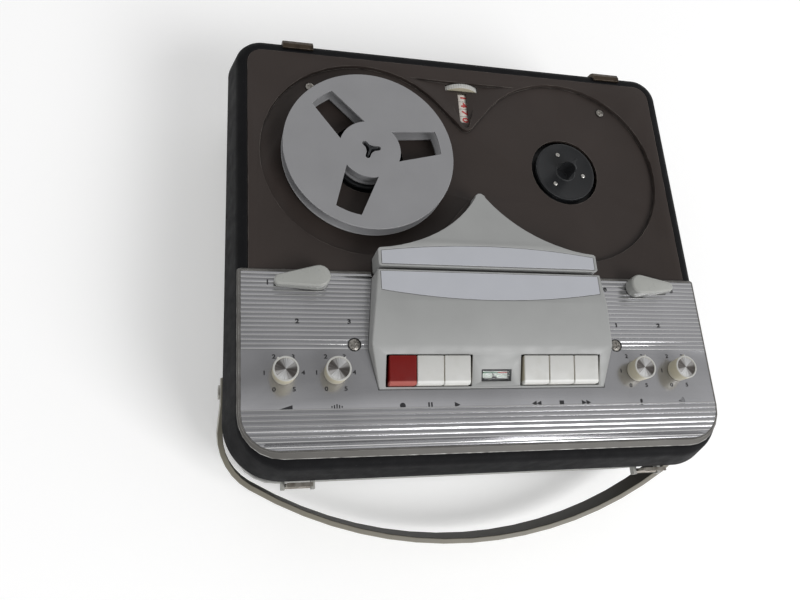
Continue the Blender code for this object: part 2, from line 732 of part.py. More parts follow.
def cover_half(y):
    """Half the front cover's width at a place between its slot and its foot."""
    bevel_y = COVER_SLOT_Y - COVER_BEVEL_REACH
    if y > bevel_y:
        share = (COVER_SLOT_Y - y) / COVER_BEVEL_REACH
        return COVER_SLOT_HALF + (COVER_BEVEL_HALF - COVER_SLOT_HALF) * share
    share = (bevel_y - y) / (bevel_y - COVER_FOOT_Y)
    return COVER_BEVEL_HALF + (COVER_FOOT_HALF - COVER_BEVEL_HALF) * share


def panel_notch(clearance):
    """The opening in the panel round the front cover, run out past the panel's rear edge."""
    rear = PANEL_REAR + OVERRUN
    bevel_y = COVER_SLOT_Y - COVER_BEVEL_REACH
    half_slot = COVER_SLOT_HALF + clearance
    half_bevel = COVER_BEVEL_HALF + clearance
    half_foot = COVER_FOOT_HALF + clearance
    right = [
        (half_foot, COVER_FOOT_Y - clearance),
        (half_bevel, bevel_y),
        (half_slot, COVER_SLOT_Y),
        (half_slot, rear),
    ]
    return right + [(-x, y) for x, y in reversed(right)]


def panel_outline(side, front, rear):
    return rounded_rectangle(
        (-PANEL_HALF + side, PANEL_HALF - side),
        (PANEL_FRONT + front, PANEL_REAR - rear),
        PANEL_RADIUS - front,
        PANEL_REAR_RADIUS - min(rear, side),
    )


def trefoil(core, lobe, half_width, turn):
    """Three round-ended lobes round a core, the first at the given angle."""
    outline = []
    root = asin(half_width / core)
    for i in range(LOBE_COUNT):
        middle = radians(turn) + 2 * pi * i / LOBE_COUNT
        centre = ((lobe - half_width) * cos(middle), (lobe - half_width) * sin(middle))
        outline.append((core * cos(middle - root), core * sin(middle - root)))
        outline += arc(centre, half_width, degrees(middle) - 90, degrees(middle) + 90, LOBE_STEPS)
        outline.append((core * cos(middle + root), core * sin(middle + root)))
    return outline


def hub_places():
    return [(-HUB_X, HUB_Y), (HUB_X, HUB_Y)]


def side_field_x(share):
    """A place in the right side field of the panel."""
    return COVER_BEVEL_HALF + share * (DECK_HALF - COVER_BEVEL_HALF)


def panel_screw_places():
    x, y = side_field_x(SCREW_SHARE), PANEL_FRONT + PANEL_SCREW_Y
    return [(-x, y), (x, y)]


def deck_screw_places():
    x, y = HUB_X + DECK_SCREW_X, HUB_Y + DECK_SCREW_Y
    return [(-x, y), (x, y)]


def knob_places():
    y = PANEL_FRONT + KNOB_Y
    inner, outer = side_field_x(KNOB_INNER_SHARE), side_field_x(KNOB_OUTER_SHARE)
    return [(-outer, y), (-inner, y), (inner, y), (outer, y)]


def selector_places():
    x, y = side_field_x(SELECTOR_SHARE), PANEL_FRONT + SELECTOR_Y
    return [(-x, y), (x, y)]


def foot_places():
    ys = (DECK_FRONT + FOOT_INSET, DECK_REAR - FOOT_INSET)
    return [(x, y) for y in ys for x in (-FOOT_X, FOOT_X)]


# Case
def splayed(outline):
    """The rim's foot, spread sideways towards the front."""
    rear = DECK_REAR + RIM_WIDTH
    points = []
    for x, y in outline:
        side = 1 if x > 0 else -1
        points.append((x + side * RIM_SPLAY * (rear - y) / CASE_DEPTH, y))
    return points


def make_case_rim():
    section = [
        (0.0, DECK_HEIGHT),
        (RIM_FLAT, DECK_HEIGHT),
        (RIM_SHOULDER, DECK_HEIGHT - RIM_SHOULDER_DROP),
        (RIM_BROW, DECK_HEIGHT - RIM_BROW_DROP),
        (RIM_WIDTH, RIM_FOOT_Z),
        (RIM_WIDTH - CASE_WALL, RIM_FOOT_Z),
        (RIM_SHOULDER, LEDGE_Z - LEDGE_THICK),
        (-LEDGE_REACH, LEDGE_Z - LEDGE_THICK),
        (-LEDGE_REACH, LEDGE_Z),
        (0.0, LEDGE_Z),
    ]
    loops = []
    for out, z in section:
        plan = case_plan(out)
        loops.append(at_height(splayed(plan) if out == RIM_WIDTH else plan, z))
    shape = bmesh.new()
    add_sections(shape, loops, ring=True)
    piece("case_rim", "black_leatherette", shape)


def make_lower_shell(pivot):
    top = shell_out(SHELL_TOP_Z)
    bottom = shell_out(SHELL_BOTTOM_Z)
    flange_top = FLANGE_Z + SHELL_FLANGE_THICK
    flange_edge = bottom - CASE_WALL - SHELL_FLANGE_REACH
    section = [
        (top, SHELL_TOP_Z),
        (bottom, SHELL_BOTTOM_Z),
        (bottom - CASE_WALL, SHELL_BOTTOM_Z),
        (shell_out(FLANGE_Z) - CASE_WALL, FLANGE_Z),
        (flange_edge, FLANGE_Z),
        (flange_edge, flange_top),
        (shell_out(flange_top) - CASE_WALL, flange_top),
        (top - CASE_WALL, SHELL_TOP_Z),
    ]
    shape = bmesh.new()
    add_sections(shape, [at_height(case_plan(out), z) for out, z in section], ring=True)
    shell = piece("lower_shell", "grey_shell", shape)
    fuse(shell, latch_ears())
    openings = bmesh.new()
    add_rod(openings, PIVOT_RADIUS + RUNNING, -CASE_WIDTH, CASE_WIDTH, SMALL_SIDES, moved(*pivot) @ ALONG_X)
    wall_y = DECK_REAR + shell_out(INLET_HEIGHT)
    inlet_ys = (wall_y - CASE_WALL - OVERRUN, wall_y + OVERRUN)
    inlet_zs = span(INLET_HEIGHT, INLET_TALL + 2 * GAP)
    add_box(openings, span(INLET_X, INLET_WIDTH + 2 * GAP), inlet_ys, inlet_zs)
    add_rods(openings, FOOT_STUD_RADIUS + GAP, foot_places(), FLANGE_Z - OVERRUN, flange_top + OVERRUN)
    cut(shell, openings)


def latch_axis():
    return (DECK_FRONT - LATCH_AXIS_OUT, RIM_FOOT_Z - LATCH_AXIS_DROP)


def latch_ears():
    """A pair of ears on the shell's front wall for each latch's barrel."""
    shape = bmesh.new()
    y, z = latch_axis()
    near = LATCH_WIDTH / 2 + GAP
    wall = DECK_FRONT - shell_out(z) + CASE_WALL / 2
    for side in (-1, 1):
        for end in (-1, 1):
            xs = sorted((side * LATCH_X + end * near, side * LATCH_X + end * (near + LATCH_EAR_THICK)))
            add_box(shape, xs, (y - LATCH_EAR_HALF, wall), span(z, 2 * LATCH_EAR_HALF))
    return shape


def make_base_cover():
    inset = shell_out(BASE_Z) - CASE_WALL - GAP
    shape = bmesh.new()
    add_prism(shape, case_plan(inset), BASE_Z, BASE_TOP_Z)
    cover = piece("base_cover", "grey_shell", shape)
    slots = bmesh.new()
    low, high = BASE_Z - OVERRUN, BASE_TOP_Z + OVERRUN
    for i in range(VENT_COUNT):
        y = HUB_Y - VENT_ROW_Y - (i - (VENT_COUNT - 1) / 2) * VENT_PITCH
        for side in (-1, 1):
            add_box(slots, span(side * VENT_ROW_X, VENT_LENGTH), span(y, VENT_WIDTH), (low, high))
    add_rods(slots, FOOT_STUD_RADIUS + GAP, foot_places(), low, high)
    cut(cover, slots)


def make_feet():
    """Rubber feet on studs that hold the base cover to the shell's flange."""
    names = ("foot_front_left", "foot_front_right", "foot_rear_left", "foot_rear_right")
    stud_top = FLANGE_Z + SHELL_FLANGE_THICK + FOOT_STUD_SPARE
    profile = [
        (FOOT_RADIUS - FOOT_TAPER, 0.0),
        (FOOT_RADIUS, FOOT_HEIGHT),
        (FOOT_STUD_RADIUS, FOOT_HEIGHT),
        (FOOT_STUD_RADIUS, stud_top),
    ]
    for name, (x, y) in zip(names, foot_places()):
        shape = bmesh.new()
        add_turned(shape, profile, SMALL_SIDES)
        piece(name, "rubber", shape, (x, y, 0.0))


# Deck
def make_deck_plate():
    shape = bmesh.new()
    add_prism(shape, case_plan(-GAP), DECK_BOTTOM_Z, DECK_HEIGHT)
    deck = piece("deck_plate", "brown_deck", shape)

    hollows = bmesh.new()
    add_prism(hollows, recess_outline(), DECK_HEIGHT - RECESS_DEPTH, DECK_HEIGHT + OVERRUN)
    mouth = at_height(pocket_outline(), DECK_HEIGHT)
    floor = at_height(pocket_outline(POCKET_FLOOR_SHARE), DECK_HEIGHT - POCKET_DEPTH)
    above = at_height(pocket_outline(), DECK_HEIGHT + OVERRUN)
    add_sections(hollows, [floor, mouth, above])
    cut(deck, hollows)

    undercut = bmesh.new()
    add_prism(undercut, undercut_outline(), DECK_BOTTOM_Z - OVERRUN, DECK_HEIGHT - NUMBER_SKIN)
    cut(deck, undercut)

    holes = bmesh.new()
    low, high = DECK_BOTTOM_Z - OVERRUN, DECK_HEIGHT + OVERRUN
    add_rods(holes, TURNTABLE_HOLE_RADIUS, hub_places(), low, high, FINE_SIDES)
    for side in (-1, 1):
        xs = sorted((side * (WELL_INNER - KEY_SPACE), side * (WELL_OUTER + KEY_SPACE)))
        ys = (COVER_FOOT_Y + WELL_FRONT, COVER_FOOT_Y + WELL_REAR + KEY_HOLE_MARGIN)
        add_box(holes, xs, ys, (low, high))
    meter_front = COVER_FOOT_Y + METER_HOLE_FRONT
    meter_xs = (-METER_HOLE_HALF, METER_HOLE_HALF)
    add_box(holes, meter_xs, (meter_front, meter_front + METER_HOLE_LENGTH), (low, high))
    add_rods(holes, SHAFT_RADIUS + RUNNING, knob_places(), low, high)
    add_rods(holes, SELECTOR_SHAFT_RADIUS + RUNNING, selector_places(), low, high)
    add_rods(holes, SCREW_SHANK_RADIUS + GAP, panel_screw_places() + deck_screw_places(), low, high)
    add_rods(holes, CAPSTAN_RADIUS + RUNNING, [(CAPSTAN_X, CAPSTAN_Y)], low, high)
    slot_ys = (HUB_Y + NUMBER_FRONT, number_rear_y())
    add_box(holes, span(0.0, NUMBER_SLOT_WIDTH), slot_ys, (low, high))
    thumb_ys = (thumb_front_y() - THUMB_SPACE / 4, thumb_front_y() + THUMB_WIDTH + THUMB_SPACE / 4)
    add_box(holes, (-THUMB_SLOT_HALF, THUMB_SLOT_HALF), thumb_ys, (low, high))
    cut(deck, holes)


def undercut_outline():
    """The T-shaped hollow under the deck that clears the number wheels and the thumbwheel."""
    narrow, wide = UNDERCUT_HALF, THUMB_UNDERCUT_HALF
    front = HUB_Y + NUMBER_FRONT - THUMB_SPACE / 2
    step = thumb_front_y() - THUMB_SPACE / 2
    rear = thumb_front_y() + THUMB_WIDTH + THUMB_SPACE / 2
    right = [(narrow, front), (narrow, step), (wide, step), (wide, rear)]
    return right + [(-x, y) for x, y in reversed(right)]


def make_screw(name, place, seat, head):
    """A domed cross-head screw. Its origin is under its head."""
    profile = [
        (SCREW_SHANK_RADIUS, -SCREW_SHANK_LENGTH),
        (SCREW_SHANK_RADIUS, 0.0),
        (head, 0.0),
        (head, SCREW_HEAD_HEIGHT / 2),
        (head * SCREW_DOME_SHARE, SCREW_HEAD_HEIGHT),
    ]
    shape = bmesh.new()
    add_turned(shape, profile, SMALL_SIDES)
    screw = piece(name, "bright_steel", shape, (*place, seat))
    long, half = head * SCREW_CROSS_SHARE / 2, SCREW_CROSS_WIDTH / 2
    turned = [(long, half), (half, half), (half, long), (-half, long), (-half, half), (-long, half)]
    outline = turned + [(-x, -y) for x, y in turned]
    cross = bmesh.new()
    add_prism(cross, outline, SCREW_HEAD_HEIGHT - SCREW_CROSS_DEPTH, SCREW_HEAD_HEIGHT + OVERRUN)
    cut(screw, cross)


def make_screws():
    panel_left, panel_right = panel_screw_places()
    deck_left, deck_right = deck_screw_places()
    deck_seat = DECK_HEIGHT - RECESS_DEPTH + GAP
    make_screw("panel_screw_left", panel_left, SHEET_Z, PANEL_SCREW_HEAD)
    make_screw("panel_screw_right", panel_right, SHEET_Z, PANEL_SCREW_HEAD)
    make_screw("deck_screw_left", deck_left, deck_seat, DECK_SCREW_HEAD)
    make_screw("deck_screw_right", deck_right, deck_seat, DECK_SCREW_HEAD)


# Control panel
def make_panel_frame():
    side, front = PANEL_SIDE_BEVEL, PANEL_FRONT_BEVEL
    outer = panel_outline(0.0, 0.0, 0.0)
    crest = panel_outline(side, front, side)
    inner = panel_outline(side + PANEL_LIP, front + PANEL_LIP, side + PANEL_LIP)
    sections = [
        at_height(outer, ON_DECK_Z),
        at_height(crest, FRAME_TOP_Z),
        at_height(inner, FRAME_TOP_Z),
        at_height(inner, FRAME_FLOOR_Z),
    ]
    shape = bmesh.new()
    add_sections(shape, sections)
    frame = piece("panel_frame", "grey_plastic", shape)
    holes = bmesh.new()
    low, high = DECK_HEIGHT - OVERRUN, FRAME_TOP_Z + OVERRUN
    add_prism(holes, panel_notch(GAP), low, high)
    add_rods(holes, SHAFT_RADIUS + RUNNING, knob_places(), low, high)
    add_rods(holes, SELECTOR_SHAFT_RADIUS + RUNNING, selector_places(), low, high)
    add_rods(holes, SCREW_SHANK_RADIUS + GAP, panel_screw_places(), low, high)
    cut(frame, holes)


def ribbed_profile():
    """The sheet's section as (y, z) points: flat below, ribs above in a rear and a front zone."""
    ribs = [PANEL_REAR - UPPER_RIB_START - UPPER_RIB_PITCH * i for i in range(UPPER_RIB_COUNT)]
    ribs += [PANEL_FRONT + LOWER_RIB_START - LOWER_RIB_PITCH * i for i in range(LOWER_RIB_COUNT)]
    profile = [(PANEL_FRONT, SHEET_Z), (PANEL_REAR, SHEET_Z), (PANEL_REAR, SHEET_TOP_Z)]
    half = RIB_WIDTH / 2
    for y in ribs:
        profile += [(y + half, SHEET_TOP_Z), (y, SHEET_TOP_Z + RIB_HEIGHT), (y - half, SHEET_TOP_Z)]
    profile.append((PANEL_FRONT, SHEET_TOP_Z))
    return profile


def make_panel_sheet():
    side = PANEL_SIDE_BEVEL + PANEL_LIP + GAP
    front = PANEL_FRONT_BEVEL + PANEL_LIP + GAP
    shape = bmesh.new()
    add_side_prism(shape, ribbed_profile(), -PANEL_HALF, PANEL_HALF)
    sheet = piece("panel_sheet", "ribbed_aluminium", shape)
    border = bmesh.new()
    add_prism(border, panel_outline(side, front, side), SHEET_Z - OVERRUN, SHEET_TOP_Z + OVERRUN)
    combine(sheet, border, "INTERSECT")
    holes = bmesh.new()
    low, high = SHEET_Z - OVERRUN, SHEET_TOP_Z + OVERRUN
    add_prism(holes, panel_notch(GAP), low, high)
    add_rods(holes, SHAFT_RADIUS + RUNNING, knob_places(), low, high)
    add_rods(holes, SELECTOR_SHAFT_RADIUS + RUNNING, selector_places(), low, high)
    well = PANEL_SCREW_HEAD + SCREW_WELL_CLEARANCE
    add_rods(holes, well, panel_screw_places(), low, high, ROUND_SIDES)
    cut(sheet, holes)


# Head cover
def cover_profile(inset):
    """(y, half width, top) from the slot to the foot. The inset makes the hollow inside the wall."""
    top = DECK_HEIGHT + COVER_HEIGHT - inset
    crest_y = COVER_SLOT_Y - COVER_CREST_LENGTH
    bevel_y = COVER_SLOT_Y - COVER_BEVEL_REACH
    bevel_z = DECK_HEIGHT + COVER_BEVEL_HEIGHT - inset
    foot_z = DECK_HEIGHT + COVER_FOOT_HEIGHT
    rows = [
        (COVER_SLOT_Y - inset, cover_half(COVER_SLOT_Y) - inset, top),
        (crest_y, cover_half(crest_y) - inset, top),
        (bevel_y, cover_half(bevel_y) - inset, bevel_z),
    ]
    slope = (COVER_BEVEL_HEIGHT - COVER_FOOT_HEIGHT) / (bevel_y - COVER_FOOT_Y)
    last_y = COVER_FOOT_Y + inset * 2
    rows.append((last_y, cover_half(last_y) - inset, foot_z - inset + slope * (last_y - COVER_FOOT_Y)))
    return rows


def cover_body(inset, low):
    shape = bmesh.new()
    sections = []
    for y, half, top in cover_profile(inset):
        sections.append([(-half, y, low), (half, y, low), (half, y, top), (-half, y, top)])
    add_sections(shape, sections)
    return shape


def meter_slope():
    """The tilt of the cover's steep front, in degrees."""
    run = COVER_FRONT_REACH - COVER_SLOT_REACH - COVER_BEVEL_REACH
    return degrees(atan2(COVER_BEVEL_HEIGHT - COVER_FOOT_HEIGHT, run))


def meter_place(sunk):
    """A point under the middle of the meter window, square to the cover's steep front."""
    tilt = radians(meter_slope())
    y = COVER_FOOT_Y + METER_REACH * cos(tilt) + sunk * sin(tilt)
    z = DECK_HEIGHT + COVER_FOOT_HEIGHT + METER_REACH * sin(tilt) - sunk * cos(tilt)
    return (0.0, y, z)


def make_cover_front():
    cover = piece("head_cover_front", "grey_plastic", cover_body(0.0, ON_DECK_Z))
    chamfer(cover, COVER_EDGE)
    cut(cover, cover_body(COVER_WALL, DECK_HEIGHT - OVERRUN))
    openings = bmesh.new()
    for side in (-1, 1):
        xs = sorted((side * WELL_INNER, side * WELL_OUTER))
        ys = (COVER_FOOT_Y + WELL_FRONT, COVER_FOOT_Y + WELL_REAR)
        add_box(openings, xs, ys, (DECK_HEIGHT - OVERRUN, DECK_HEIGHT + COVER_HEIGHT))
    window_ys = (COVER_SLOT_Y - COVER_WALL * 2, COVER_SLOT_Y + OVERRUN)
    window_zs = (DECK_HEIGHT - OVERRUN, DECK_HEIGHT + HEAD_WINDOW_TOP)
    add_box(openings, (-HEAD_WINDOW_HALF, HEAD_WINDOW_HALF), window_ys, window_zs)
    add_prism(openings, front_plate_outline(0.0), plate_floor_z(), DECK_HEIGHT + COVER_HEIGHT + OVERRUN)
    tilted = Matrix.Translation(meter_place(0.0)) @ Matrix.Rotation(radians(meter_slope()), 4, "X")
    meter_zs = (-METER_DEPTH / 2, OVERRUN)
    add_box(openings, span(0.0, METER_WIDTH), span(0.0, METER_HEIGHT), meter_zs, tilted)
    cut(cover, openings)


def front_plate_outline(inset):
    half = COVER_SLOT_HALF - PLATE_END_INSET - inset
    rear = COVER_SLOT_Y - PLATE_MARGIN - inset
    end = COVER_SLOT_Y - FRONT_PLATE_END + inset
    sag = FRONT_PLATE_MIDDLE - FRONT_PLATE_END
    return [(half, rear), (-half, rear)] + bulged_line((-half, end), (half, end), -sag, PLATE_STEPS)


def rear_plate_outline(inset):
    half = BAR_HALF - PLATE_END_INSET - inset
    front = BAR_FRONT_Y + PLATE_MARGIN + inset
    end = BAR_FRONT_Y + REAR_PLATE_END - inset
    sag = REAR_PLATE_MIDDLE - REAR_PLATE_END
    return [(-half, front), (half, front)] + bulged_line((half, end), (-half, end), -sag, PLATE_STEPS)


def plate_floor_z():
    return DECK_HEIGHT + COVER_HEIGHT - PLATE_POCKET - GAP


def fin_outline(inset):
    """The rear half in plan: a bar with a fin that runs back between the circles to a round tip."""
    half = BAR_HALF - inset
    front = BAR_FRONT_Y + inset
    rear = BAR_REAR_Y - inset
    tip_half = FIN_TIP_HALF - inset
    tip_y = HUB_Y - FIN_TIP_REACH - FIN_TIP_HALF - inset * 2
    corner = BAR_END_CHAMFER
    right = [(half - corner, front), (half, front + corner), (half, rear - corner), (half - corner, rear)]
    right += bulged_line((half - corner, rear), (tip_half, tip_y), FIN_SAG, FIN_STEPS)[1:-1]
    tip = arc((0.0, tip_y), tip_half, 0, 180, FIN_TIP_STEPS)
    left = [(-x, y) for x, y in reversed(right)]
    return right + tip + left


def make_cover_rear():
    shape = bmesh.new()
    add_prism(shape, fin_outline(0.0), ON_DECK_Z, DECK_HEIGHT + COVER_HEIGHT)
    cover = piece("head_cover_rear", "grey_plastic", shape)

    slope_y = BAR_FRONT_Y + FIN_SLOPE_START
    tip_y = HUB_Y - FIN_TIP_REACH
    top = DECK_HEIGHT + COVER_HEIGHT
    beyond = tip_y + FIN_TIP_HALF
    fall = (COVER_HEIGHT - FIN_TIP_HEIGHT) / (tip_y - slope_y)
    low = top - fall * (beyond - slope_y)
    wedge = bmesh.new()
    profile = [(slope_y, top), (beyond, low), (beyond, top + OVERRUN), (slope_y, top + OVERRUN)]
    add_side_prism(wedge, profile, -BAR_HALF, BAR_HALF)
    cut(cover, wedge)

    hollow = bmesh.new()
    inner = at_height(fin_outline(COVER_WALL), DECK_HEIGHT - OVERRUN)
    roof = []
    for x, y in fin_outline(COVER_WALL):
        drop = max(0.0, fall * (y - slope_y))
        roof.append((x, y, top - COVER_WALL - PLATE_POCKET - GAP - drop))
    add_sections(hollow, [inner, roof])
    cut(cover, hollow)

    pocket = bmesh.new()
    add_prism(pocket, rear_plate_outline(0.0), plate_floor_z(), top + OVERRUN)
    cut(cover, pocket)


def make_cover_plates():
    low = plate_floor_z() + GAP
    outlines = {"front_plate": front_plate_outline(GAP), "rear_plate": rear_plate_outline(GAP)}
    for name, outline in outlines.items():
        shape = bmesh.new()
        add_prism(shape, outline, low, low + PLATE_THICK)
        piece(name, "satin_plate", shape)


# Keys
def key_middle_xs():
    """The middles of the six keys, left to right."""
    well_middle = (WELL_INNER + WELL_OUTER) / 2
    offsets = [(i - (KEY_COUNT - 1) / 2) * KEY_PITCH for i in range(KEY_COUNT)]
    return [side * well_middle + offset for side in (-1, 1) for offset in offsets]


def make_key(name, finish, x):
    """A cap on an arm, with an eye round the key shaft. Its origin is on the shaft's axis."""
    front = COVER_FOOT_Y + KEY_FRONT - KEY_AXIS_Y
    rear = front + KEY_LENGTH
    base = -KEY_AXIS_HEIGHT
    half = (KEY_PITCH - KEY_SPACE) / 2
    cap = [
        (rear, base - KEY_DEPTH),
        (rear, base + KEY_REAR_HEIGHT),
        (front + KEY_NOSE, base + KEY_FRONT_HEIGHT),
        (front + KEY_NOSE / 4, base + KEY_FRONT_HEIGHT - KEY_NOSE / 2),
        (front, base + KEY_FRONT_HEIGHT - KEY_NOSE),
        (front, base - KEY_DEPTH),
    ]
    shape = bmesh.new()
    add_side_prism(shape, cap, -half, half)
    key = piece(name, finish, shape, (x, KEY_AXIS_Y, KEY_AXIS_Z))
    chamfer(key, KEY_EDGE)
    arm = bmesh.new()
    arm_half = KEY_ARM_WIDTH / 2
    add_box(arm, (-arm_half, arm_half), (rear - OVERRUN, 0.0), (-KEY_ARM_HEIGHT, 0.0))
    fuse(key, arm)
    eye = bmesh.new()
    add_rod(eye, KEY_EYE_RADIUS, -arm_half - GAP, arm_half + GAP, ROUND_SIDES, ALONG_X)
    fuse(key, eye)
    bore = bmesh.new()
    add_rod(bore, KEY_SHAFT_RADIUS + RUNNING, -half, half, SMALL_SIDES, ALONG_X)
    cut(key, bore)


def make_keys():
    names = ("key_record", "key_pause", "key_play", "key_rewind", "key_stop", "key_forward")
    for name, x in zip(names, key_middle_xs()):
        make_key(name, "red_plastic" if name == "key_record" else "ivory_plastic", x)


# Level meter
def make_level_meter():
    half_x, half_y = METER_WIDTH / 2 - GAP, METER_HEIGHT / 2 - GAP
    place, tilt = meter_place(METER_SET), meter_slope()
    shape = bmesh.new()
    add_box(shape, (-half_x, half_x), (-half_y, half_y), (-METER_DEPTH, 0.0))
    meter = piece("level_meter", "black_plastic", shape, place, tilt)
    pocket = bmesh.new()
    inner_x, inner_y = half_x - METER_WALL, half_y - METER_WALL
    add_box(pocket, (-inner_x, inner_x), (-inner_y, inner_y), (-METER_POCKET, OVERRUN))
    cut(meter, pocket)
    rebate = bmesh.new()
    glass_x, glass_y = half_x - METER_WALL / 2, half_y - METER_WALL / 2
    add_box(rebate, (-glass_x, glass_x), (-glass_y, glass_y), (-METER_GLASS, OVERRUN))
    cut(meter, rebate)

    glass = bmesh.new()
    pane_x, pane_y = glass_x - GAP, glass_y - GAP
    add_box(glass, (-pane_x, pane_x), (-pane_y, pane_y), (-METER_GLASS + GAP, 0.0))
    piece("meter_window", "clear_window", glass, place, tilt)

    needle_y = -inner_y + NEEDLE_HUB_RADIUS + GAP
    tilted = Matrix.Translation(place) @ Matrix.Rotation(radians(tilt), 4, "X")
    origin = tilted @ Vector((0.0, needle_y, -METER_POCKET + GAP))
    needle = bmesh.new()
    add_rod(needle, NEEDLE_HUB_RADIUS, 0.0, 2 * NEEDLE_THICK, SMALL_SIDES)
    pointer = piece("meter_needle", "needle_black", needle, origin, tilt)
    blade = bmesh.new()
    length = 2 * inner_y - 2 * NEEDLE_HUB_RADIUS - GAP
    half = NEEDLE_WIDTH / 2
    turn = Matrix.Rotation(radians(NEEDLE_REST_ANGLE), 4, "Z")
    add_box(blade, (-half, half), (0.0, length), (NEEDLE_THICK / 2, 3 * NEEDLE_THICK / 2), turn)
    fuse(pointer, blade)


# Knobs, potentiometers and selector levers
def make_knob(name, x, y, angle):
    """A tapered knob with its shaft, a dished disc sunk in its top and a pointed nib at its edge."""
    shaft_bottom = DECK_BOTTOM_Z - POT_DEPTH + POT_FLOOR + SHAFT_END_SPACE - ON_SHEET_Z
    profile = [
        (SHAFT_RADIUS, shaft_bottom),
        (SHAFT_RADIUS, 0.0),
        (KNOB_BASE_RADIUS, 0.0),
        (KNOB_TOP_RADIUS, KNOB_HEIGHT),
        (KNOB_CAP_RADIUS, KNOB_HEIGHT),
        (KNOB_CAP_RADIUS - KNOB_CAP_BEVEL, KNOB_HEIGHT - KNOB_CAP_DEPTH),
        (KNOB_CAP_PIN, KNOB_HEIGHT - KNOB_CAP_DEPTH - KNOB_CAP_DISH),
    ]
    shape = bmesh.new()
    add_turned(shape, profile, ROUND_SIDES)
    knob = piece(name, "ivory_plastic", shape, (x, y, ON_SHEET_Z))
    pointer = bmesh.new()
    half = POINTER_WIDTH / 2
    root = KNOB_CAP_RADIUS + GAP
    nib = [(root, -half), (KNOB_TOP_RADIUS + POINTER_REACH, 0.0), (root, half)]
    turn = Matrix.Rotation(radians(angle), 4, "Z")
    add_prism(pointer, nib, KNOB_HEIGHT - POINTER_HEIGHT, KNOB_HEIGHT, turn)
    fuse(knob, pointer)


def make_knobs():
    knobs = {
        "volume_knob": VOLUME_POINTER,
        "tone_knob": TONE_POINTER,
        "microphone_knob": MICROPHONE_POINTER,
        "radio_knob": RADIO_POINTER,
    }
    for (name, angle), (x, y) in zip(knobs.items(), knob_places()):
        make_knob(name, x, y, angle)


def make_potentiometers():
    """Four potentiometers on one strip, which passes under the keys."""
    top = DECK_BOTTOM_Z - GAP
    bottom = top - POT_DEPTH
    bore = SHAFT_RADIUS + RUNNING
    ys = span(PANEL_FRONT + KNOB_Y, 2 * POT_RADIUS)
    shape = bmesh.new()
    half = side_field_x(KNOB_OUTER_SHARE) + POT_RADIUS + POT_STRIP_END
    add_box(shape, (-half, half), ys, (bottom - POT_STRIP_THICK, bottom))
    strip = piece("potentiometers", "zinc_plate", shape)
    pots = bmesh.new()
    profile = [
        (POT_RADIUS - GAP, bottom - POT_STRIP_THICK / 2),
        (POT_RADIUS - GAP, top),
        (bore, top),
        (bore, bottom + POT_FLOOR),
    ]
    for x, y in knob_places():
        add_turned(pots, profile, HIDDEN_SIDES, moved(x, y))
    fuse(strip, pots)


def lever_outline(grow):
    """A long drop: a wide arc round the pivot, straight sides and a small arc at the tip."""
    wide, narrow = SELECTOR_RADIUS + grow, SELECTOR_TIP_RADIUS + grow
    side = degrees(acos((wide - narrow) / SELECTOR_LENGTH))
    heel = arc((0.0, 0.0), wide, side, 360 - side, ROUND_SIDES // 2)
    tip = arc((SELECTOR_LENGTH, 0.0), narrow, -side, side, CORNER_STEPS)
    return heel + tip


def make_selector(name, x, y, angle):
    turn = Matrix.Rotation(radians(angle), 4, "Z")
    slope = (SELECTOR_HEIGHT - SELECTOR_TIP_HEIGHT) / SELECTOR_LENGTH
    crown = []
    for px, py in lever_outline(-SELECTOR_TIP_RADIUS / 4):
        crown.append((px, py, SELECTOR_HEIGHT - slope * max(px, 0.0)))
    waist = [(px, py, pz - SELECTOR_BASE / 2) for (px, py), (_, _, pz) in zip(lever_outline(0.0), crown)]
    shape = bmesh.new()
    add_sections(shape, [at_height(lever_outline(0.0), 0.0), waist, crown], place=turn)
    selector = piece(name, "grey_plastic", shape, (x, y, ON_SHEET_Z + RIB_HEIGHT))
    shaft = bmesh.new()
    depth = ON_SHEET_Z + RIB_HEIGHT - DECK_HEIGHT + SELECTOR_SHAFT_DEPTH
    add_rod(shaft, SELECTOR_SHAFT_RADIUS, -depth, OVERRUN, SMALL_SIDES)
    fuse(selector, shaft)


def make_selectors():
    left, right = selector_places()
    make_selector("track_selector", *left, SELECTOR_LEFT_ANGLE)
    make_selector("speed_selector", *right, SELECTOR_RIGHT_ANGLE)


# Turntables and reel
def make_turntable(name, x, spindle_angle):
    top = DECK_HEIGHT - TURNTABLE_TOP
    wheel_top = DECK_HEIGHT - DRIVE_WHEEL_TOP - top
    wheel_bottom = wheel_top - DRIVE_WHEEL_THICK
    shaft_bottom = CHASSIS_Z - BEARING_BELOW - top
    profile = [
        (TURNTABLE_SHAFT_RADIUS, shaft_bottom),
        (TURNTABLE_SHAFT_RADIUS, wheel_bottom),
        (DRIVE_WHEEL_RADIUS, wheel_bottom),
        (DRIVE_WHEEL_RADIUS, wheel_top),
        (TURNTABLE_HUB_RADIUS, wheel_top),
        (TURNTABLE_HUB_RADIUS, -TURNTABLE_THICK),
        (TURNTABLE_RADIUS, -TURNTABLE_THICK),
        (TURNTABLE_RADIUS, 0.0),
    ]
    shape = bmesh.new()
    add_turned(shape, profile, FINE_SIDES)
    turntable = piece(name, "black_plastic", shape, (x, HUB_Y, top))
    tops = bmesh.new()
    sunk = -TURNTABLE_THICK / 2
    lobes = trefoil(SPINDLE_CORE, SPINDLE_LOBE, SPINDLE_HALF_WIDTH, spindle_angle)
    add_prism(tops, lobes, sunk, SPINDLE_HEIGHT)
    studs = circle(STUD_CIRCLE, LOBE_COUNT, turn=radians(spindle_angle) + pi / LOBE_COUNT)
    add_rods(tops, STUD_RADIUS, studs, sunk, STUD_HEIGHT)
    fuse(turntable, tops)
    return turntable


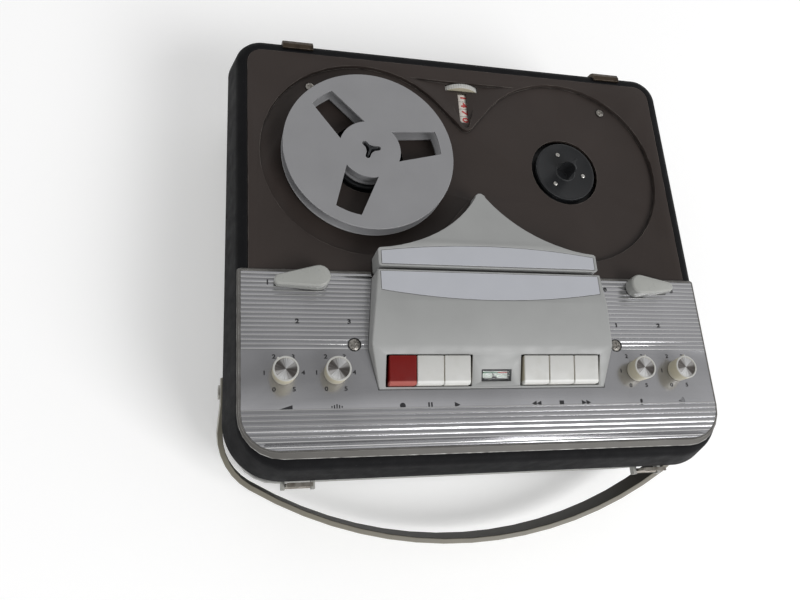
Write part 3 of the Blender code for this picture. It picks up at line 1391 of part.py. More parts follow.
def reel_windows(low, high):
    shape = bmesh.new()
    hub = (0.0, 0.0)
    inner_radius, outer_radius = REEL_HUB_RADIUS + REEL_HUB_BAND, REEL_RADIUS - REEL_RIM_BAND
    near, far = REEL_WINDOW_INNER_ANGLE, REEL_WINDOW_OUTER_ANGLE
    for i in range(LOBE_COUNT):
        middle = LEFT_SPINDLE_ANGLE + 360 * i / LOBE_COUNT
        inner = arc(hub, inner_radius, middle + near, middle - near, CORNER_STEPS)
        outer = arc(hub, outer_radius, middle - far, middle + far, CORNER_STEPS)
        add_prism(shape, inner + outer, low, high)
    hole = trefoil(REEL_HOLE_CORE, REEL_HOLE_LOBE, REEL_HOLE_HALF_WIDTH, LEFT_SPINDLE_ANGLE)
    add_prism(shape, hole, low, high)
    return shape


def make_reel(turntable):
    """Lower flange with hub, and upper flange, both on the feed turntable's studs."""
    seat = STUD_HEIGHT + GAP
    top_seat = seat + REEL_HEIGHT - REEL_FLANGE
    hub_top = REEL_HEIGHT - REEL_FLANGE - GAP
    body = bmesh.new()
    profile = [
        (REEL_RADIUS, 0.0),
        (REEL_RADIUS, REEL_FLANGE),
        (REEL_HUB_RADIUS, REEL_FLANGE),
        (REEL_HUB_RADIUS, hub_top),
    ]
    add_turned(body, profile, FINE_SIDES)
    lower = piece("reel_body", "reel_plastic", body, (0.0, 0.0, seat), parent=turntable)
    cut(lower, reel_windows(-OVERRUN, hub_top + OVERRUN))
    flange = bmesh.new()
    add_rod(flange, REEL_RADIUS, 0.0, REEL_FLANGE, FINE_SIDES)
    upper = piece("reel_top_flange", "reel_plastic", flange, (0.0, 0.0, top_seat), parent=turntable)
    cut(upper, reel_windows(-OVERRUN, REEL_FLANGE + OVERRUN))


# Counter
def number_rear_y():
    return HUB_Y + NUMBER_FRONT + NUMBER_COUNT * NUMBER_WIDTH


def thumb_front_y():
    return number_rear_y() + THUMB_SPACE


def counter_axis_z():
    return DECK_HEIGHT - COUNTER_AXIS_DEPTH


def bracket_ys():
    """The inner faces of the counter bracket's two cheeks."""
    return (HUB_Y + NUMBER_FRONT - BRACKET_MARGIN, thumb_front_y() + THUMB_WIDTH + BRACKET_MARGIN)


def make_number_wheels():
    """Four number wheels with grooves between them, on a shaft that ends in the bracket's cheeks."""
    origin_y = HUB_Y + NUMBER_FRONT
    near, far = (y - origin_y for y in bracket_ys())
    shaft = COUNTER_SHAFT_RADIUS
    profile = [(shaft, near - BRACKET_THICK), (shaft, 0.0)]
    for i in range(NUMBER_COUNT):
        start = i * NUMBER_WIDTH + NUMBER_GROOVE / 2
        end = (i + 1) * NUMBER_WIDTH - NUMBER_GROOVE / 2
        if i:
            profile.append((NUMBER_RADIUS - NUMBER_GROOVE, start))
        profile += [(NUMBER_RADIUS, start), (NUMBER_RADIUS, end)]
        if i < NUMBER_COUNT - 1:
            profile.append((NUMBER_RADIUS - NUMBER_GROOVE, end))
    profile[1] = (shaft, NUMBER_GROOVE / 2)
    profile.append((shaft, NUMBER_COUNT * NUMBER_WIDTH - NUMBER_GROOVE / 2))
    profile.append((shaft, far + BRACKET_THICK))
    shape = bmesh.new()
    add_turned(shape, profile, HIDDEN_SIDES, ALONG_Y)
    piece("number_wheels", "number_wheel", shape, (0.0, origin_y, counter_axis_z()))


def make_reset_wheel():
    shape = bmesh.new()
    bore = COUNTER_SHAFT_RADIUS + RUNNING
    profile = [(bore, 0.0), (THUMB_RADIUS, 0.0), (THUMB_RADIUS, THUMB_WIDTH), (bore, THUMB_WIDTH)]
    add_turned(shape, profile, FINE_SIDES, ALONG_Y, ring=True)
    piece("counter_reset_wheel", "ivory_plastic", shape, (0.0, thumb_front_y(), counter_axis_z()))


def make_counter_bracket():
    """A U of sheet metal that hangs under the deck, with the counter's shaft through its cheeks."""
    near, far = bracket_ys()
    top = DECK_BOTTOM_Z - GAP
    floor = counter_axis_z() - THUMB_RADIUS - BRACKET_MARGIN
    outer = [
        (near - BRACKET_THICK, top),
        (near - BRACKET_THICK, floor - BRACKET_THICK),
        (far + BRACKET_THICK, floor - BRACKET_THICK),
        (far + BRACKET_THICK, top),
        (far, top),
        (far, floor),
        (near, floor),
        (near, top),
    ]
    shape = bmesh.new()
    add_side_prism(shape, outer, -BRACKET_HALF, BRACKET_HALF)
    bracket = piece("counter_bracket", "zinc_plate", shape)
    holes = bmesh.new()
    ends = (near - BRACKET_THICK - OVERRUN, far + BRACKET_THICK + OVERRUN)
    axis = moved(0.0, 0.0, counter_axis_z()) @ ALONG_Y
    add_rod(holes, COUNTER_SHAFT_RADIUS + RUNNING, *ends, SMALL_SIDES, axis)
    cut(bracket, holes)


# Chassis and drive
def post_places():
    ys = (HUB_Y - POST_FRONT_REACH, HUB_Y + POST_REAR_REACH)
    return [(x, y) for x in (-POST_X, POST_X) for y in ys]


def make_chassis():
    """The plate on four posts, with bushes pressed in that carry the two drive wheels and the capstan."""
    shape = bmesh.new()
    ys = (HUB_Y - CHASSIS_FRONT_REACH, HUB_Y + CHASSIS_REAR_REACH)
    add_box(shape, (-CHASSIS_HALF, CHASSIS_HALF), ys, (CHASSIS_Z, CHASSIS_TOP_Z))
    chassis = piece("chassis_plate", "zinc_plate", shape)
    uprights = bmesh.new()
    capstan = [(CAPSTAN_X, CAPSTAN_Y)]
    bush_bottom = CHASSIS_Z - BEARING_BELOW
    wheel_bottom = DECK_HEIGHT - DRIVE_WHEEL_TOP - DRIVE_WHEEL_THICK
    boss_top = DECK_HEIGHT - FLYWHEEL_TOP - FLYWHEEL_THICK - GAP
    add_rods(uprights, POST_RADIUS, post_places(), CHASSIS_Z + CHASSIS_THICK / 2, DECK_BOTTOM_Z - GAP)
    add_rods(uprights, BEARING_RADIUS, hub_places(), bush_bottom, wheel_bottom - GAP, HIDDEN_SIDES)
    add_rods(uprights, FLYWHEEL_BOSS_RADIUS, capstan, bush_bottom, boss_top, HIDDEN_SIDES)
    fuse(chassis, uprights)
    holes = bmesh.new()
    low, high = bush_bottom - OVERRUN, wheel_bottom + OVERRUN
    add_rods(holes, TURNTABLE_SHAFT_RADIUS + RUNNING, hub_places(), low, high, HIDDEN_SIDES)
    add_rods(holes, CAPSTAN_RADIUS + RUNNING, capstan, low, high)
    add_rods(holes, MOTOR_SHAFT_RADIUS + RUNNING, [(MOTOR_X, MOTOR_Y)], low, high)
    cut(chassis, holes)


def make_flywheel():
    """The capstan and its flywheel in one, on the capstan's axis."""
    origin_z = DECK_HEIGHT - FLYWHEEL_TOP - FLYWHEEL_THICK
    web_low = (FLYWHEEL_THICK - FLYWHEEL_WEB) / 2
    rim_inner = FLYWHEEL_RADIUS - FLYWHEEL_RIM
    profile = [
        (CAPSTAN_RADIUS, CHASSIS_Z - BEARING_BELOW - origin_z),
        (CAPSTAN_RADIUS, 0.0),
        (FLYWHEEL_BOSS_RADIUS, 0.0),
        (FLYWHEEL_BOSS_RADIUS, web_low),
        (rim_inner, web_low),
        (rim_inner, 0.0),
        (FLYWHEEL_RADIUS, 0.0),
        (FLYWHEEL_RADIUS, FLYWHEEL_THICK),
        (rim_inner, FLYWHEEL_THICK),
        (rim_inner, web_low + FLYWHEEL_WEB),
        (FLYWHEEL_BOSS_RADIUS, web_low + FLYWHEEL_WEB),
        (FLYWHEEL_BOSS_RADIUS, FLYWHEEL_THICK),
        (CAPSTAN_RADIUS, FLYWHEEL_THICK),
        (CAPSTAN_RADIUS, DECK_HEIGHT + CAPSTAN_TOP - origin_z),
    ]
    shape = bmesh.new()
    add_turned(shape, profile, ROUND_SIDES)
    piece("flywheel", "bright_steel", shape, (CAPSTAN_X, CAPSTAN_Y, origin_z))


def belt_z():
    return DECK_HEIGHT - FLYWHEEL_TOP - FLYWHEEL_THICK / 2


def make_motor():
    shape = bmesh.new()
    top = UNDER_CHASSIS_Z
    bottom = top - MOTOR_LENGTH
    bore = MOTOR_SHAFT_RADIUS + RUNNING
    waist = MOTOR_RADIUS - MOTOR_END / 2
    profile = [
        (waist, bottom),
        (MOTOR_RADIUS, bottom + MOTOR_END),
        (MOTOR_RADIUS, top - MOTOR_END),
        (waist, top),
        (bore, top),
        (bore, top - MOTOR_SHAFT_SEAT - GAP),
    ]
    add_turned(shape, profile, HIDDEN_SIDES, moved(MOTOR_X, MOTOR_Y))
    piece("motor", "zinc_plate", shape)

    pulley = bmesh.new()
    half = BELT_WIDTH / 2 + GAP
    flange = PULLEY_RADIUS + PULLEY_LIP
    profile = [
        (MOTOR_SHAFT_RADIUS, top - MOTOR_SHAFT_SEAT - belt_z()),
        (MOTOR_SHAFT_RADIUS, -half - PULLEY_LIP),
        (flange, -half - PULLEY_LIP),
        (PULLEY_RADIUS, -half),
        (PULLEY_RADIUS, half),
        (flange, half + PULLEY_LIP),
    ]
    add_turned(pulley, profile, HIDDEN_SIDES)
    piece("motor_pulley", "bright_steel", pulley, (MOTOR_X, MOTOR_Y, belt_z()))


def make_belt():
    """A flat belt round the motor pulley and the flywheel's rim."""
    start, end = Vector((MOTOR_X, MOTOR_Y)), Vector((CAPSTAN_X, CAPSTAN_Y))
    way = degrees(atan2(end.y - start.y, end.x - start.x))
    lean = degrees(acos((FLYWHEEL_RADIUS - PULLEY_RADIUS) / (end - start).length))
    outside = 1 / cos(radians(180 - lean) / BELT_STEPS)  # the belt's flats clear both rims
    small, large = (PULLEY_RADIUS + GAP) * outside, (FLYWHEEL_RADIUS + GAP) * outside
    outlines = []
    for grow in (0.0, BELT_THICK):
        loop = arc(start, small + grow, way + 180 - lean, way + 180 + lean, BELT_STEPS)
        loop += arc(end, large + grow, way + 180 + lean, way + 540 - lean, BELT_STEPS)
        outlines.append(loop)
    low, high = belt_z() - BELT_WIDTH / 2, belt_z() + BELT_WIDTH / 2
    inner, outer = outlines
    sections = [
        at_height(outer, low),
        at_height(outer, high),
        at_height(inner, high),
        at_height(inner, low),
    ]
    shape = bmesh.new()
    add_sections(shape, sections, ring=True)
    piece("drive_belt", "rubber", shape)


# Head bridge, heads and pinch roller
def bridge_ys():
    rear = COVER_SLOT_Y - COVER_WALL - BRIDGE_FROM_SLOT
    return (rear - BRIDGE_LENGTH, rear)


def arm_pivot():
    roller_y = CAPSTAN_Y - CAPSTAN_RADIUS - ROLLER_SPACE - ROLLER_RADIUS
    return (CAPSTAN_X + ARM_REACH_X, roller_y - ARM_REACH_Y)


def make_head_bridge():
    shape = bmesh.new()
    add_box(shape, (-BRIDGE_HALF, BRIDGE_HALF), bridge_ys(), (ON_DECK_Z, BRIDGE_TOP_Z))
    bridge = piece("head_bridge", "zinc_plate", shape)
    uprights = bmesh.new()
    sunk = BRIDGE_TOP_Z - BRIDGE_THICK / 2
    lug_top = ON_DECK_Z + LUG_HEIGHT
    half = KEY_EYE_RADIUS
    for x in (-BRIDGE_HALF, -LUG_THICK / 2, BRIDGE_HALF - LUG_THICK):
        add_box(uprights, (x, x + LUG_THICK), (KEY_AXIS_Y - half, KEY_AXIS_Y + half), (sunk, lug_top))
    for share in GUIDE_XS_SHARES:
        profile = [
            (GUIDE_COLLAR, sunk),
            (GUIDE_COLLAR, BRIDGE_TOP_Z + GUIDE_COLLAR),
            (GUIDE_RADIUS, BRIDGE_TOP_Z + GUIDE_COLLAR),
            (GUIDE_RADIUS, DECK_HEIGHT + GUIDE_TOP - GUIDE_COLLAR),
            (GUIDE_COLLAR, DECK_HEIGHT + GUIDE_TOP - GUIDE_COLLAR),
            (GUIDE_COLLAR, DECK_HEIGHT + GUIDE_TOP),
        ]
        y = bridge_ys()[1] - GUIDE_COLLAR - GAP
        add_turned(uprights, profile, SMALL_SIDES, moved(share * HEAD_WINDOW_HALF, y))
    x, y = arm_pivot()
    add_rod(uprights, ARM_STUD_RADIUS, sunk, BRIDGE_TOP_Z + 2 * ARM_THICK, SMALL_SIDES, moved(x, y))
    add_tape_heads(uprights, sunk)
    fuse(bridge, uprights)
    shaft = bmesh.new()
    reach = BRIDGE_HALF - LUG_THICK / 2
    axis = moved(0.0, KEY_AXIS_Y, KEY_AXIS_Z) @ ALONG_X
    add_rod(shaft, KEY_SHAFT_RADIUS, -reach, reach, SMALL_SIDES, axis)
    fuse(bridge, shaft)
    hole = bmesh.new()
    low, high = DECK_HEIGHT - OVERRUN, BRIDGE_TOP_Z + OVERRUN
    add_rods(hole, CAPSTAN_RADIUS + RUNNING, [(CAPSTAN_X, CAPSTAN_Y)], low, high)
    cut(bridge, hole)


def add_tape_heads(shape, low):
    """Erase head and record head: blocks with a rounded face towards the slot."""
    rear = COVER_SLOT_Y - COVER_WALL - HEAD_SETBACK
    half = HEAD_WIDTH / 2
    for x in (ERASE_HEAD_X, RECORD_HEAD_X):
        start, end = (x + half, rear - HEAD_GROOVE), (x - half, rear - HEAD_GROOVE)
        face = bulged_line(start, end, -HEAD_GROOVE, CORNER_STEPS)
        outline = face + [(x - half, rear - HEAD_DEPTH), (x + half, rear - HEAD_DEPTH)]
        add_prism(shape, outline, low, DECK_HEIGHT + HEAD_TOP)


def make_pinch_roller():
    """An arm on a stud of the bridge, and the rubber roller on the arm's own stud."""
    x, y = arm_pivot()
    low = BRIDGE_TOP_Z + GAP
    roller_x, roller_y = -ARM_REACH_X, ARM_REACH_Y
    lean = degrees(atan2(roller_y, roller_x))
    outline = arc((0.0, 0.0), ARM_END_RADIUS, lean - 270, lean - 90, CORNER_STEPS)
    outline += arc((roller_x, roller_y), ARM_END_RADIUS, lean - 90, lean + 90, CORNER_STEPS)
    shape = bmesh.new()
    add_prism(shape, outline, 0.0, ARM_THICK)
    arm = piece("pinch_arm", "zinc_plate", shape, (x, y, low))
    stud = bmesh.new()
    stud_top = ARM_THICK + GAP + ROLLER_WIDTH + ARM_THICK / 2
    add_rod(stud, ARM_STUD_RADIUS, ARM_THICK / 2, stud_top, SMALL_SIDES, moved(roller_x, roller_y))
    fuse(arm, stud)
    bore = bmesh.new()
    add_rod(bore, ARM_STUD_RADIUS + RUNNING, -OVERRUN, ARM_THICK + OVERRUN, SMALL_SIDES)
    cut(arm, bore)
    roller = bmesh.new()
    inner = ARM_STUD_RADIUS + RUNNING
    profile = [(inner, 0.0), (ROLLER_RADIUS, 0.0), (ROLLER_RADIUS, ROLLER_WIDTH), (inner, ROLLER_WIDTH)]
    add_turned(roller, profile, HIDDEN_SIDES, ring=True)
    piece("pinch_roller", "rubber", roller, (roller_x, roller_y, ARM_THICK + GAP), parent=arm)


# Electrics
def make_transformer():
    x, y = TRANSFORMER_X, HUB_Y - TRANSFORMER_REACH
    z = UNDER_CHASSIS_Z - TRANSFORMER_HEIGHT / 2
    shape = bmesh.new()
    add_box(shape, span(x, TRANSFORMER_WIDTH), span(y, TRANSFORMER_DEPTH), span(z, TRANSFORMER_HEIGHT))
    transformer = piece("mains_transformer", "zinc_plate", shape)
    coil = bmesh.new()
    add_box(coil, span(x, COIL_WIDTH), span(y, COIL_DEPTH), span(z, COIL_HEIGHT))
    fuse(transformer, coil)


def make_amplifier():
    """A board on four posts, with its valves."""
    front = DECK_FRONT + BOARD_FROM_FRONT
    rear = front + BOARD_DEPTH
    left, right = span(BOARD_X, BOARD_WIDTH)
    low = BASE_TOP_Z + BOARD_HEIGHT
    shape = bmesh.new()
    add_box(shape, (left, right), (front, rear), (low, low + BOARD_THICK))
    board = piece("amplifier_board", "circuit_board", shape)
    posts = bmesh.new()
    xs = (left + BOARD_POST_INSET, right - BOARD_POST_INSET)
    ys = (front + BOARD_POST_INSET, rear - BOARD_POST_INSET)
    corners = [(x, y) for x in xs for y in ys]
    add_rods(posts, BOARD_POST_RADIUS, corners, BASE_TOP_Z + GAP, low + BOARD_THICK / 2)
    fuse(board, posts)

    valves = bmesh.new()
    seat = low + BOARD_THICK
    pitch = (BOARD_WIDTH - 4 * BOARD_POST_INSET) / VALVE_COUNT
    for i in range(VALVE_COUNT):
        x = BOARD_X + (i - (VALVE_COUNT - 1) / 2) * pitch
        profile = [
            (VALVE_RADIUS, seat - BOARD_THICK / 2),
            (VALVE_RADIUS, seat + VALVE_BASE),
            (VALVE_BULB_RADIUS, seat + VALVE_BASE),
            (VALVE_BULB_RADIUS, seat + VALVE_HEIGHT - VALVE_SHOULDER),
            (VALVE_TIP_RADIUS, seat + VALVE_HEIGHT),
        ]
        add_turned(valves, profile, SMALL_SIDES, moved(x, (front + rear) / 2))
    fuse(board, valves)


def make_loudspeaker():
    """Face down on the base cover, over its vents."""
    low = BASE_TOP_Z + GAP
    profile = [
        (SPEAKER_RADIUS, low),
        (SPEAKER_RADIUS, low + SPEAKER_FRAME),
        (SPEAKER_RADIUS - SPEAKER_FRAME, low + SPEAKER_FRAME),
        (SPEAKER_MAGNET_RADIUS, low + SPEAKER_CONE),
        (SPEAKER_MAGNET_RADIUS, low + SPEAKER_CONE + SPEAKER_MAGNET),
    ]
    shape = bmesh.new()
    add_turned(shape, profile, ROUND_SIDES, moved(SPEAKER_X, HUB_Y - SPEAKER_REACH))
    piece("loudspeaker", "speaker_frame", shape)


def make_mains_inlet():
    """A socket with two pins in the rear wall."""
    rear = DECK_REAR + shell_out(INLET_HEIGHT)
    half_x, half_z = INLET_WIDTH / 2, INLET_TALL / 2
    shape = bmesh.new()
    add_box(shape, (-half_x, half_x), (-INLET_DEPTH, 0.0), (-half_z, half_z))
    inlet = piece("mains_inlet", "black_plastic", shape, (INLET_X, rear, INLET_HEIGHT))
    cavity = bmesh.new()
    inner_x, inner_z = half_x - INLET_WALL, half_z - INLET_WALL
    add_box(cavity, (-inner_x, inner_x), (-INLET_CAVITY, OVERRUN), (-inner_z, inner_z))
    cut(inlet, cavity)
    pins = bmesh.new()
    for side in (-1, 1):
        ends = (-INLET_CAVITY - INLET_WALL, -INLET_CAVITY + INLET_PIN_LENGTH)
        add_rod(pins, INLET_PIN_RADIUS, *ends, SMALL_SIDES, moved(side * INLET_PIN_SPREAD, 0.0) @ ALONG_Y)
    fuse(inlet, pins)


# Handle
def handle_pivot():
    """The pivot's place, and the length of the handle from it to its outer face, square to the band."""
    tilt = radians(HANDLE_TILT)
    length = (HANDLE_PIVOT_BACK + HANDLE_REACH - HANDLE_TALL / 2 * sin(tilt)) / cos(tilt)
    z = DECK_HEIGHT - HANDLE_DROP + length * sin(tilt) - HANDLE_TALL / 2 * cos(tilt)
    return (0.0, CASE_FRONT + HANDLE_PIVOT_BACK, z), length


def handle_path(inset):
    """The band's face in plan, from the left leg round the front to the right leg."""
    _, length = handle_pivot()
    half, sag = HANDLE_FRONT_HALF, HANDLE_FRONT_SAG
    radius = (half * half + sag * sag) / (2 * sag)
    lean = asin(half / radius)
    reach = degrees(lean)
    corner = (HANDLE_HALF - HANDLE_FRONT_HALF) / (1 - sin(lean))
    centre = (0.0, radius - length)
    front = arc(centre, radius - inset, 270 - reach, 270 + reach, HANDLE_ARC_STEPS)
    meet_y = centre[1] - radius * cos(lean)
    corner_centre = (HANDLE_HALF - corner, meet_y + corner * cos(lean))
    right = arc(corner_centre, corner - inset, 270 + reach, 360, CORNER_STEPS)
    leg = HANDLE_LEG_HALF - inset
    right += [(leg, -HANDLE_EYE), (leg, HANDLE_TAIL)]
    left = [(-x, y) for x, y in reversed(right)]
    return left[:-1] + front + right[1:]


def make_handle(pivot):
    outer, inner = handle_path(0.0), handle_path(HANDLE_BAND)
    outline = outer + list(reversed(inner))
    half = HANDLE_TALL / 2
    shape = bmesh.new()
    add_prism(shape, outline, -half, half)
    handle = piece("handle", "handle_band", shape, pivot, HANDLE_TILT)
    trims = bmesh.new()
    reach = HANDLE_HALF + OVERRUN
    bite = HANDLE_END_CHAMFER
    for side in (-1, 1):
        corner = [
            (HANDLE_TAIL - bite, side * half),
            (HANDLE_TAIL, side * (half - bite)),
            (HANDLE_TAIL + bite, side * (half + bite)),
        ]
        add_side_prism(trims, corner, -reach, reach)
    cut(handle, trims)
    holes = bmesh.new()
    add_rod(holes, PIVOT_RADIUS + RUNNING, -reach, reach, SMALL_SIDES, ALONG_X)
    cut(handle, holes)


def make_handle_pivots(pivot):
    """Shouldered pins through the side walls: nut, shank, spacer, shank in the leg, head."""
    z = pivot[2]
    nut = DECK_HALF + shell_out(z - PIVOT_NUT_RADIUS) - CASE_WALL - GAP
    boss = DECK_HALF + shell_out(z + PIVOT_BOSS_RADIUS) + GAP
    leg = HANDLE_LEG_HALF - HANDLE_BAND - GAP
    head = HANDLE_LEG_HALF + GAP
    profile = [
        (PIVOT_NUT_RADIUS, nut - PIVOT_NUT),
        (PIVOT_NUT_RADIUS, nut),
        (PIVOT_RADIUS, nut),
        (PIVOT_RADIUS, boss),
        (PIVOT_BOSS_RADIUS, boss),
        (PIVOT_BOSS_RADIUS, leg),
        (PIVOT_RADIUS, leg),
        (PIVOT_RADIUS, head),
        (PIVOT_HEAD_RADIUS, head),
        (PIVOT_HEAD_RADIUS, head + PIVOT_HEAD),
    ]
    for name, side in (("handle_pivot_left", -1), ("handle_pivot_right", 1)):
        shape = bmesh.new()
        add_turned(shape, profile, HIDDEN_SIDES, Matrix.Diagonal((side, 1, 1, 1)) @ ALONG_X)
        piece(name, "bright_steel", shape, pivot)


# Latches and lid lugs
def make_latch(name, x):
    """A plate on a barrel between two ears, with a lip that hooks over the lid's edge."""
    y, z = latch_axis()
    half = LATCH_WIDTH / 2
    plate = [
        (-LATCH_THICK / 2, 0.0),
        (LATCH_THICK / 2, 0.0),
        (LATCH_THICK / 2, LATCH_TALL - LATCH_LIP),
        (LATCH_THICK / 2, LATCH_TALL),
        (-LATCH_THICK / 2 - LATCH_LIP, LATCH_TALL),
        (-LATCH_THICK / 2, LATCH_TALL - LATCH_LIP),
    ]
    shape = bmesh.new()
    add_side_prism(shape, plate, -half, half)
    latch = piece(name, "zinc_plate", shape, (x, y, z))
    barrel = bmesh.new()
    add_rod(barrel, LATCH_BARREL_RADIUS, -half, half, SMALL_SIDES, ALONG_X)
    fuse(latch, barrel)


def make_lid_lugs():
    """Sheet-metal clips over the rear rim that the lid's hinges hook on to."""
    rim = [
        (RIM_FLAT, 0.0),
        (RIM_SHOULDER, -RIM_SHOULDER_DROP),
        (RIM_BROW, -RIM_BROW_DROP),
        (RIM_BROW + (RIM_WIDTH - RIM_BROW) / 4, -RIM_BROW_DROP - (RIM_DROP - RIM_BROW_DROP) / 4),
    ]
    start = RIM_FLAT * LUG_BACK_SHARE
    clear = GAP + LUG_PLATE
    inner = [(start, GAP)] + [(out + GAP, drop + GAP) for out, drop in rim]
    outer = [(start, clear)] + [(out + clear, drop + clear) for out, drop in rim]
    outer[-1] = (inner[-1][0] + LUG_PLATE, inner[-1][1])
    profile = outer + list(reversed(inner))
    for name, side in (("lid_lug_left", -1), ("lid_lug_right", 1)):
        shape = bmesh.new()
        add_side_prism(shape, profile, -LUG_WIDTH / 2, LUG_WIDTH / 2)
        piece(name, "zinc_plate", shape, (side * LUG_X, DECK_REAR, DECK_HEIGHT))


def main():
    pivot, _ = handle_pivot()
    make_case_rim()
    make_lower_shell(pivot)
    make_base_cover()
    make_feet()
    make_deck_plate()
    make_screws()
    make_panel_frame()
    make_panel_sheet()
    make_cover_front()
    make_cover_rear()
    make_cover_plates()
    make_keys()
    make_level_meter()
    make_knobs()
    make_potentiometers()
    make_selectors()
    feed = make_turntable("feed_turntable", -HUB_X, LEFT_SPINDLE_ANGLE)
    make_turntable("takeup_turntable", HUB_X, RIGHT_SPINDLE_ANGLE)
    make_reel(feed)
    make_number_wheels()
    make_reset_wheel()
    make_counter_bracket()
    make_chassis()
    make_flywheel()
    make_motor()
    make_belt()
    make_head_bridge()
    make_pinch_roller()
    make_transformer()
    make_amplifier()
    make_loudspeaker()
    make_mains_inlet()
    make_handle(pivot)
    make_handle_pivots(pivot)
    make_latch("latch_left", -LATCH_X)
    make_latch("latch_right", LATCH_X)
    make_lid_lugs()


main()
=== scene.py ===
"""Looks of the tape recorder: finishes, fine shapes, print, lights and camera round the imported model."""

import json
from math import asin, atan2, cos, degrees, pi, radians, sin

import bmesh
import bpy
from mathutils import Matrix, Vector


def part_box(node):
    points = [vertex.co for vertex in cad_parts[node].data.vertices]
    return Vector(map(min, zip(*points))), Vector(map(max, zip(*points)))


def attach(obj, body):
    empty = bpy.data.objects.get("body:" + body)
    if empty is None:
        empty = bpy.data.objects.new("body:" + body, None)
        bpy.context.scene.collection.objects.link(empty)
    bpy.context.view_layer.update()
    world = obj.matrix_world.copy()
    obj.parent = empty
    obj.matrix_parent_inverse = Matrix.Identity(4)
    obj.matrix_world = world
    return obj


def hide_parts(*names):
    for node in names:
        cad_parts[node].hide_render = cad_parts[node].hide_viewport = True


# Fineness
WELD = 0.000002
FLAT_ANGLE = 0.3  # degrees between faces that are one flat
SMOOTH_ANGLE = 38.0
FEW_CORNERS = 8  # faces with more corners are split
ROUND_STEPS = 96
BEVEL_STEPS = 2
DIGIT_SLICES = 6

# Camera, worked out from the photograph
CAMERA_PLACE = (-0.2324, -0.2213, 0.6869)
CAMERA_TURN = (19.567, -14.507, -3.962)  # degrees about X, Y and Z
CAMERA_NEAR = 0.01
FOCAL_PIXELS = 757.0
IMAGE_WIDTH = 800
SENSOR_WIDTH = 36.0

# Light
FLOOR_REACH = 6.0
FLOOR_COLOUR = (0.90, 0.90, 0.90)
FLOOR_ROUGHNESS = 0.9
FLOOR_GLOW = 0.19
WHITE = (1.0, 1.0, 1.0, 1.0)
ROOM_STRENGTH = 0.72
ROOM_LEVELS = ((0.0, 1.15), (0.5, 1.0), (0.76, 0.78), (0.86, 0.62), (0.95, 0.43))  # height, brightness
ROOM_PATCH_SCALE = 2.2
ROOM_PATCHES = {"From_Min": 0.35, "From_Max": 0.65, "To_Min": 0.88, "To_Max": 1.12}
KEY_PLACE = (1.9, -2.3, 2.8)
KEY_AIM = (0.0, 0.0, 0.1)
KEY_SIZE = 1.9
KEY_POWER = 92.0

# Finishes. A mask's range tells where it starts, where it is full, and its amount
SHADER_SAMPLES = 4
EVEN = (1.0, 1.0, 1.0)
DARK_PATCHES = (0.52, 0.25)
LIGHT_PATCHES = (0.52, 0.78)
SOIL_PATCHES = (0.52, 0.75)
SOIL_SHARES = (0.72, 0.70, 0.60)
# Paler edges, partly rubbed and partly painted highlight: their noise patches and their edge mask
RUBBED_AND_LIT_PATCHES = (0.35, 0.65)
RUBBED_AND_LIT_EDGES = (0.995, 0.90)
# Dirt and painted shade in corners, found by ambient occlusion
CORNER_DIRT_AND_SHADE = (0.95, 0.55)
DUST_SPAN = 0.06
# Painted reflection on a spun disc: its dark and light sectors, the scale of its rays, and its dark and light rays
DARK_SECTORS = (-0.1, -0.6, 0.9)
LIGHT_SECTORS = (0.35, 0.75, 0.95)
RAY_SCALE = 9.0
DARK_RAYS = (0.50, 0.30, 0.35)
LIGHT_RAYS = (0.55, 0.75, 0.35)
CAP_SHEEN_TURN = 68.0  # degrees
# Painted shade in the rib troughs and painted highlight on the rib crests
RIB_SHADE_AND_HIGHLIGHT = (  # heights as shares of a rib's, amount and colour: troughs, then crests
    (0.02, 0.08, 0.8, (120, 119, 121)),
    (0.32, 0.52, 0.95, (232, 232, 232)),
)

# Knobs
KNOB_HEIGHT = 0.0142
KNOB_BASE_RADIUS = 0.0090
KNOB_TOP_RADIUS = 0.0097
KNOB_CAP_RADIUS = 0.0083
KNOB_SHAFT_RADIUS = 0.0030
KNOB_SKIRT = 0.0024  # the groove's height over the knob's foot
KNOB_GROOVE = 0.00025
KNOB_EDGE = 0.0005
CAP_SUNK = 0.0004
CAP_CONE = 0.0006
CAP_GAP = 0.00005
NIB_WIDTH = 0.0026
NIB_REACH = 0.0011
NIB_HEIGHT = 0.0040
POINTERS = {"volume": 124.0, "tone": 58.0, "microphone": 80.0, "radio": 90.0}

# Keys
# Depth of the painted highlight along a key's front edge
KEY_NOSE = 0.0030
KEYS = ("record", "pause", "play", "rewind", "stop", "forward")

# Print on the panel
RIB_HEIGHT = 0.0004
PRINT_THICK = 0.00006
NUMBER_RING = 0.0146
NUMBER_SIZE = 0.0045
NUMBER_START = -121.0  # degrees, at 0
NUMBER_STEP = -59.6
NUMBER_LAST = 5
SIGN_SIZE = 0.0046
SIGN_DROP = 0.0262  # from the knobs' line forward to the line of signs
SELECTOR_NUMBER_SIZE = 0.0050
LETTER_WEIGHT = 0.035  # as a share of a letter's size
LETTER_STRETCH = 1.2
LETTER_FINENESS = 3
SELECTOR_NUMBERS = {  # place from the selector's pivot
    "track_select": (("1", -0.0392, -0.0024), ("2", -0.0169, -0.0340), ("3", 0.0238, -0.0340)),
    "speed_select": (
        ("3", 0.0374, -0.0020),
        ("2", 0.0177, -0.0345),
        ("1", -0.0237, -0.0345),
        ("0", -0.0290, -0.0020),
    ),
}

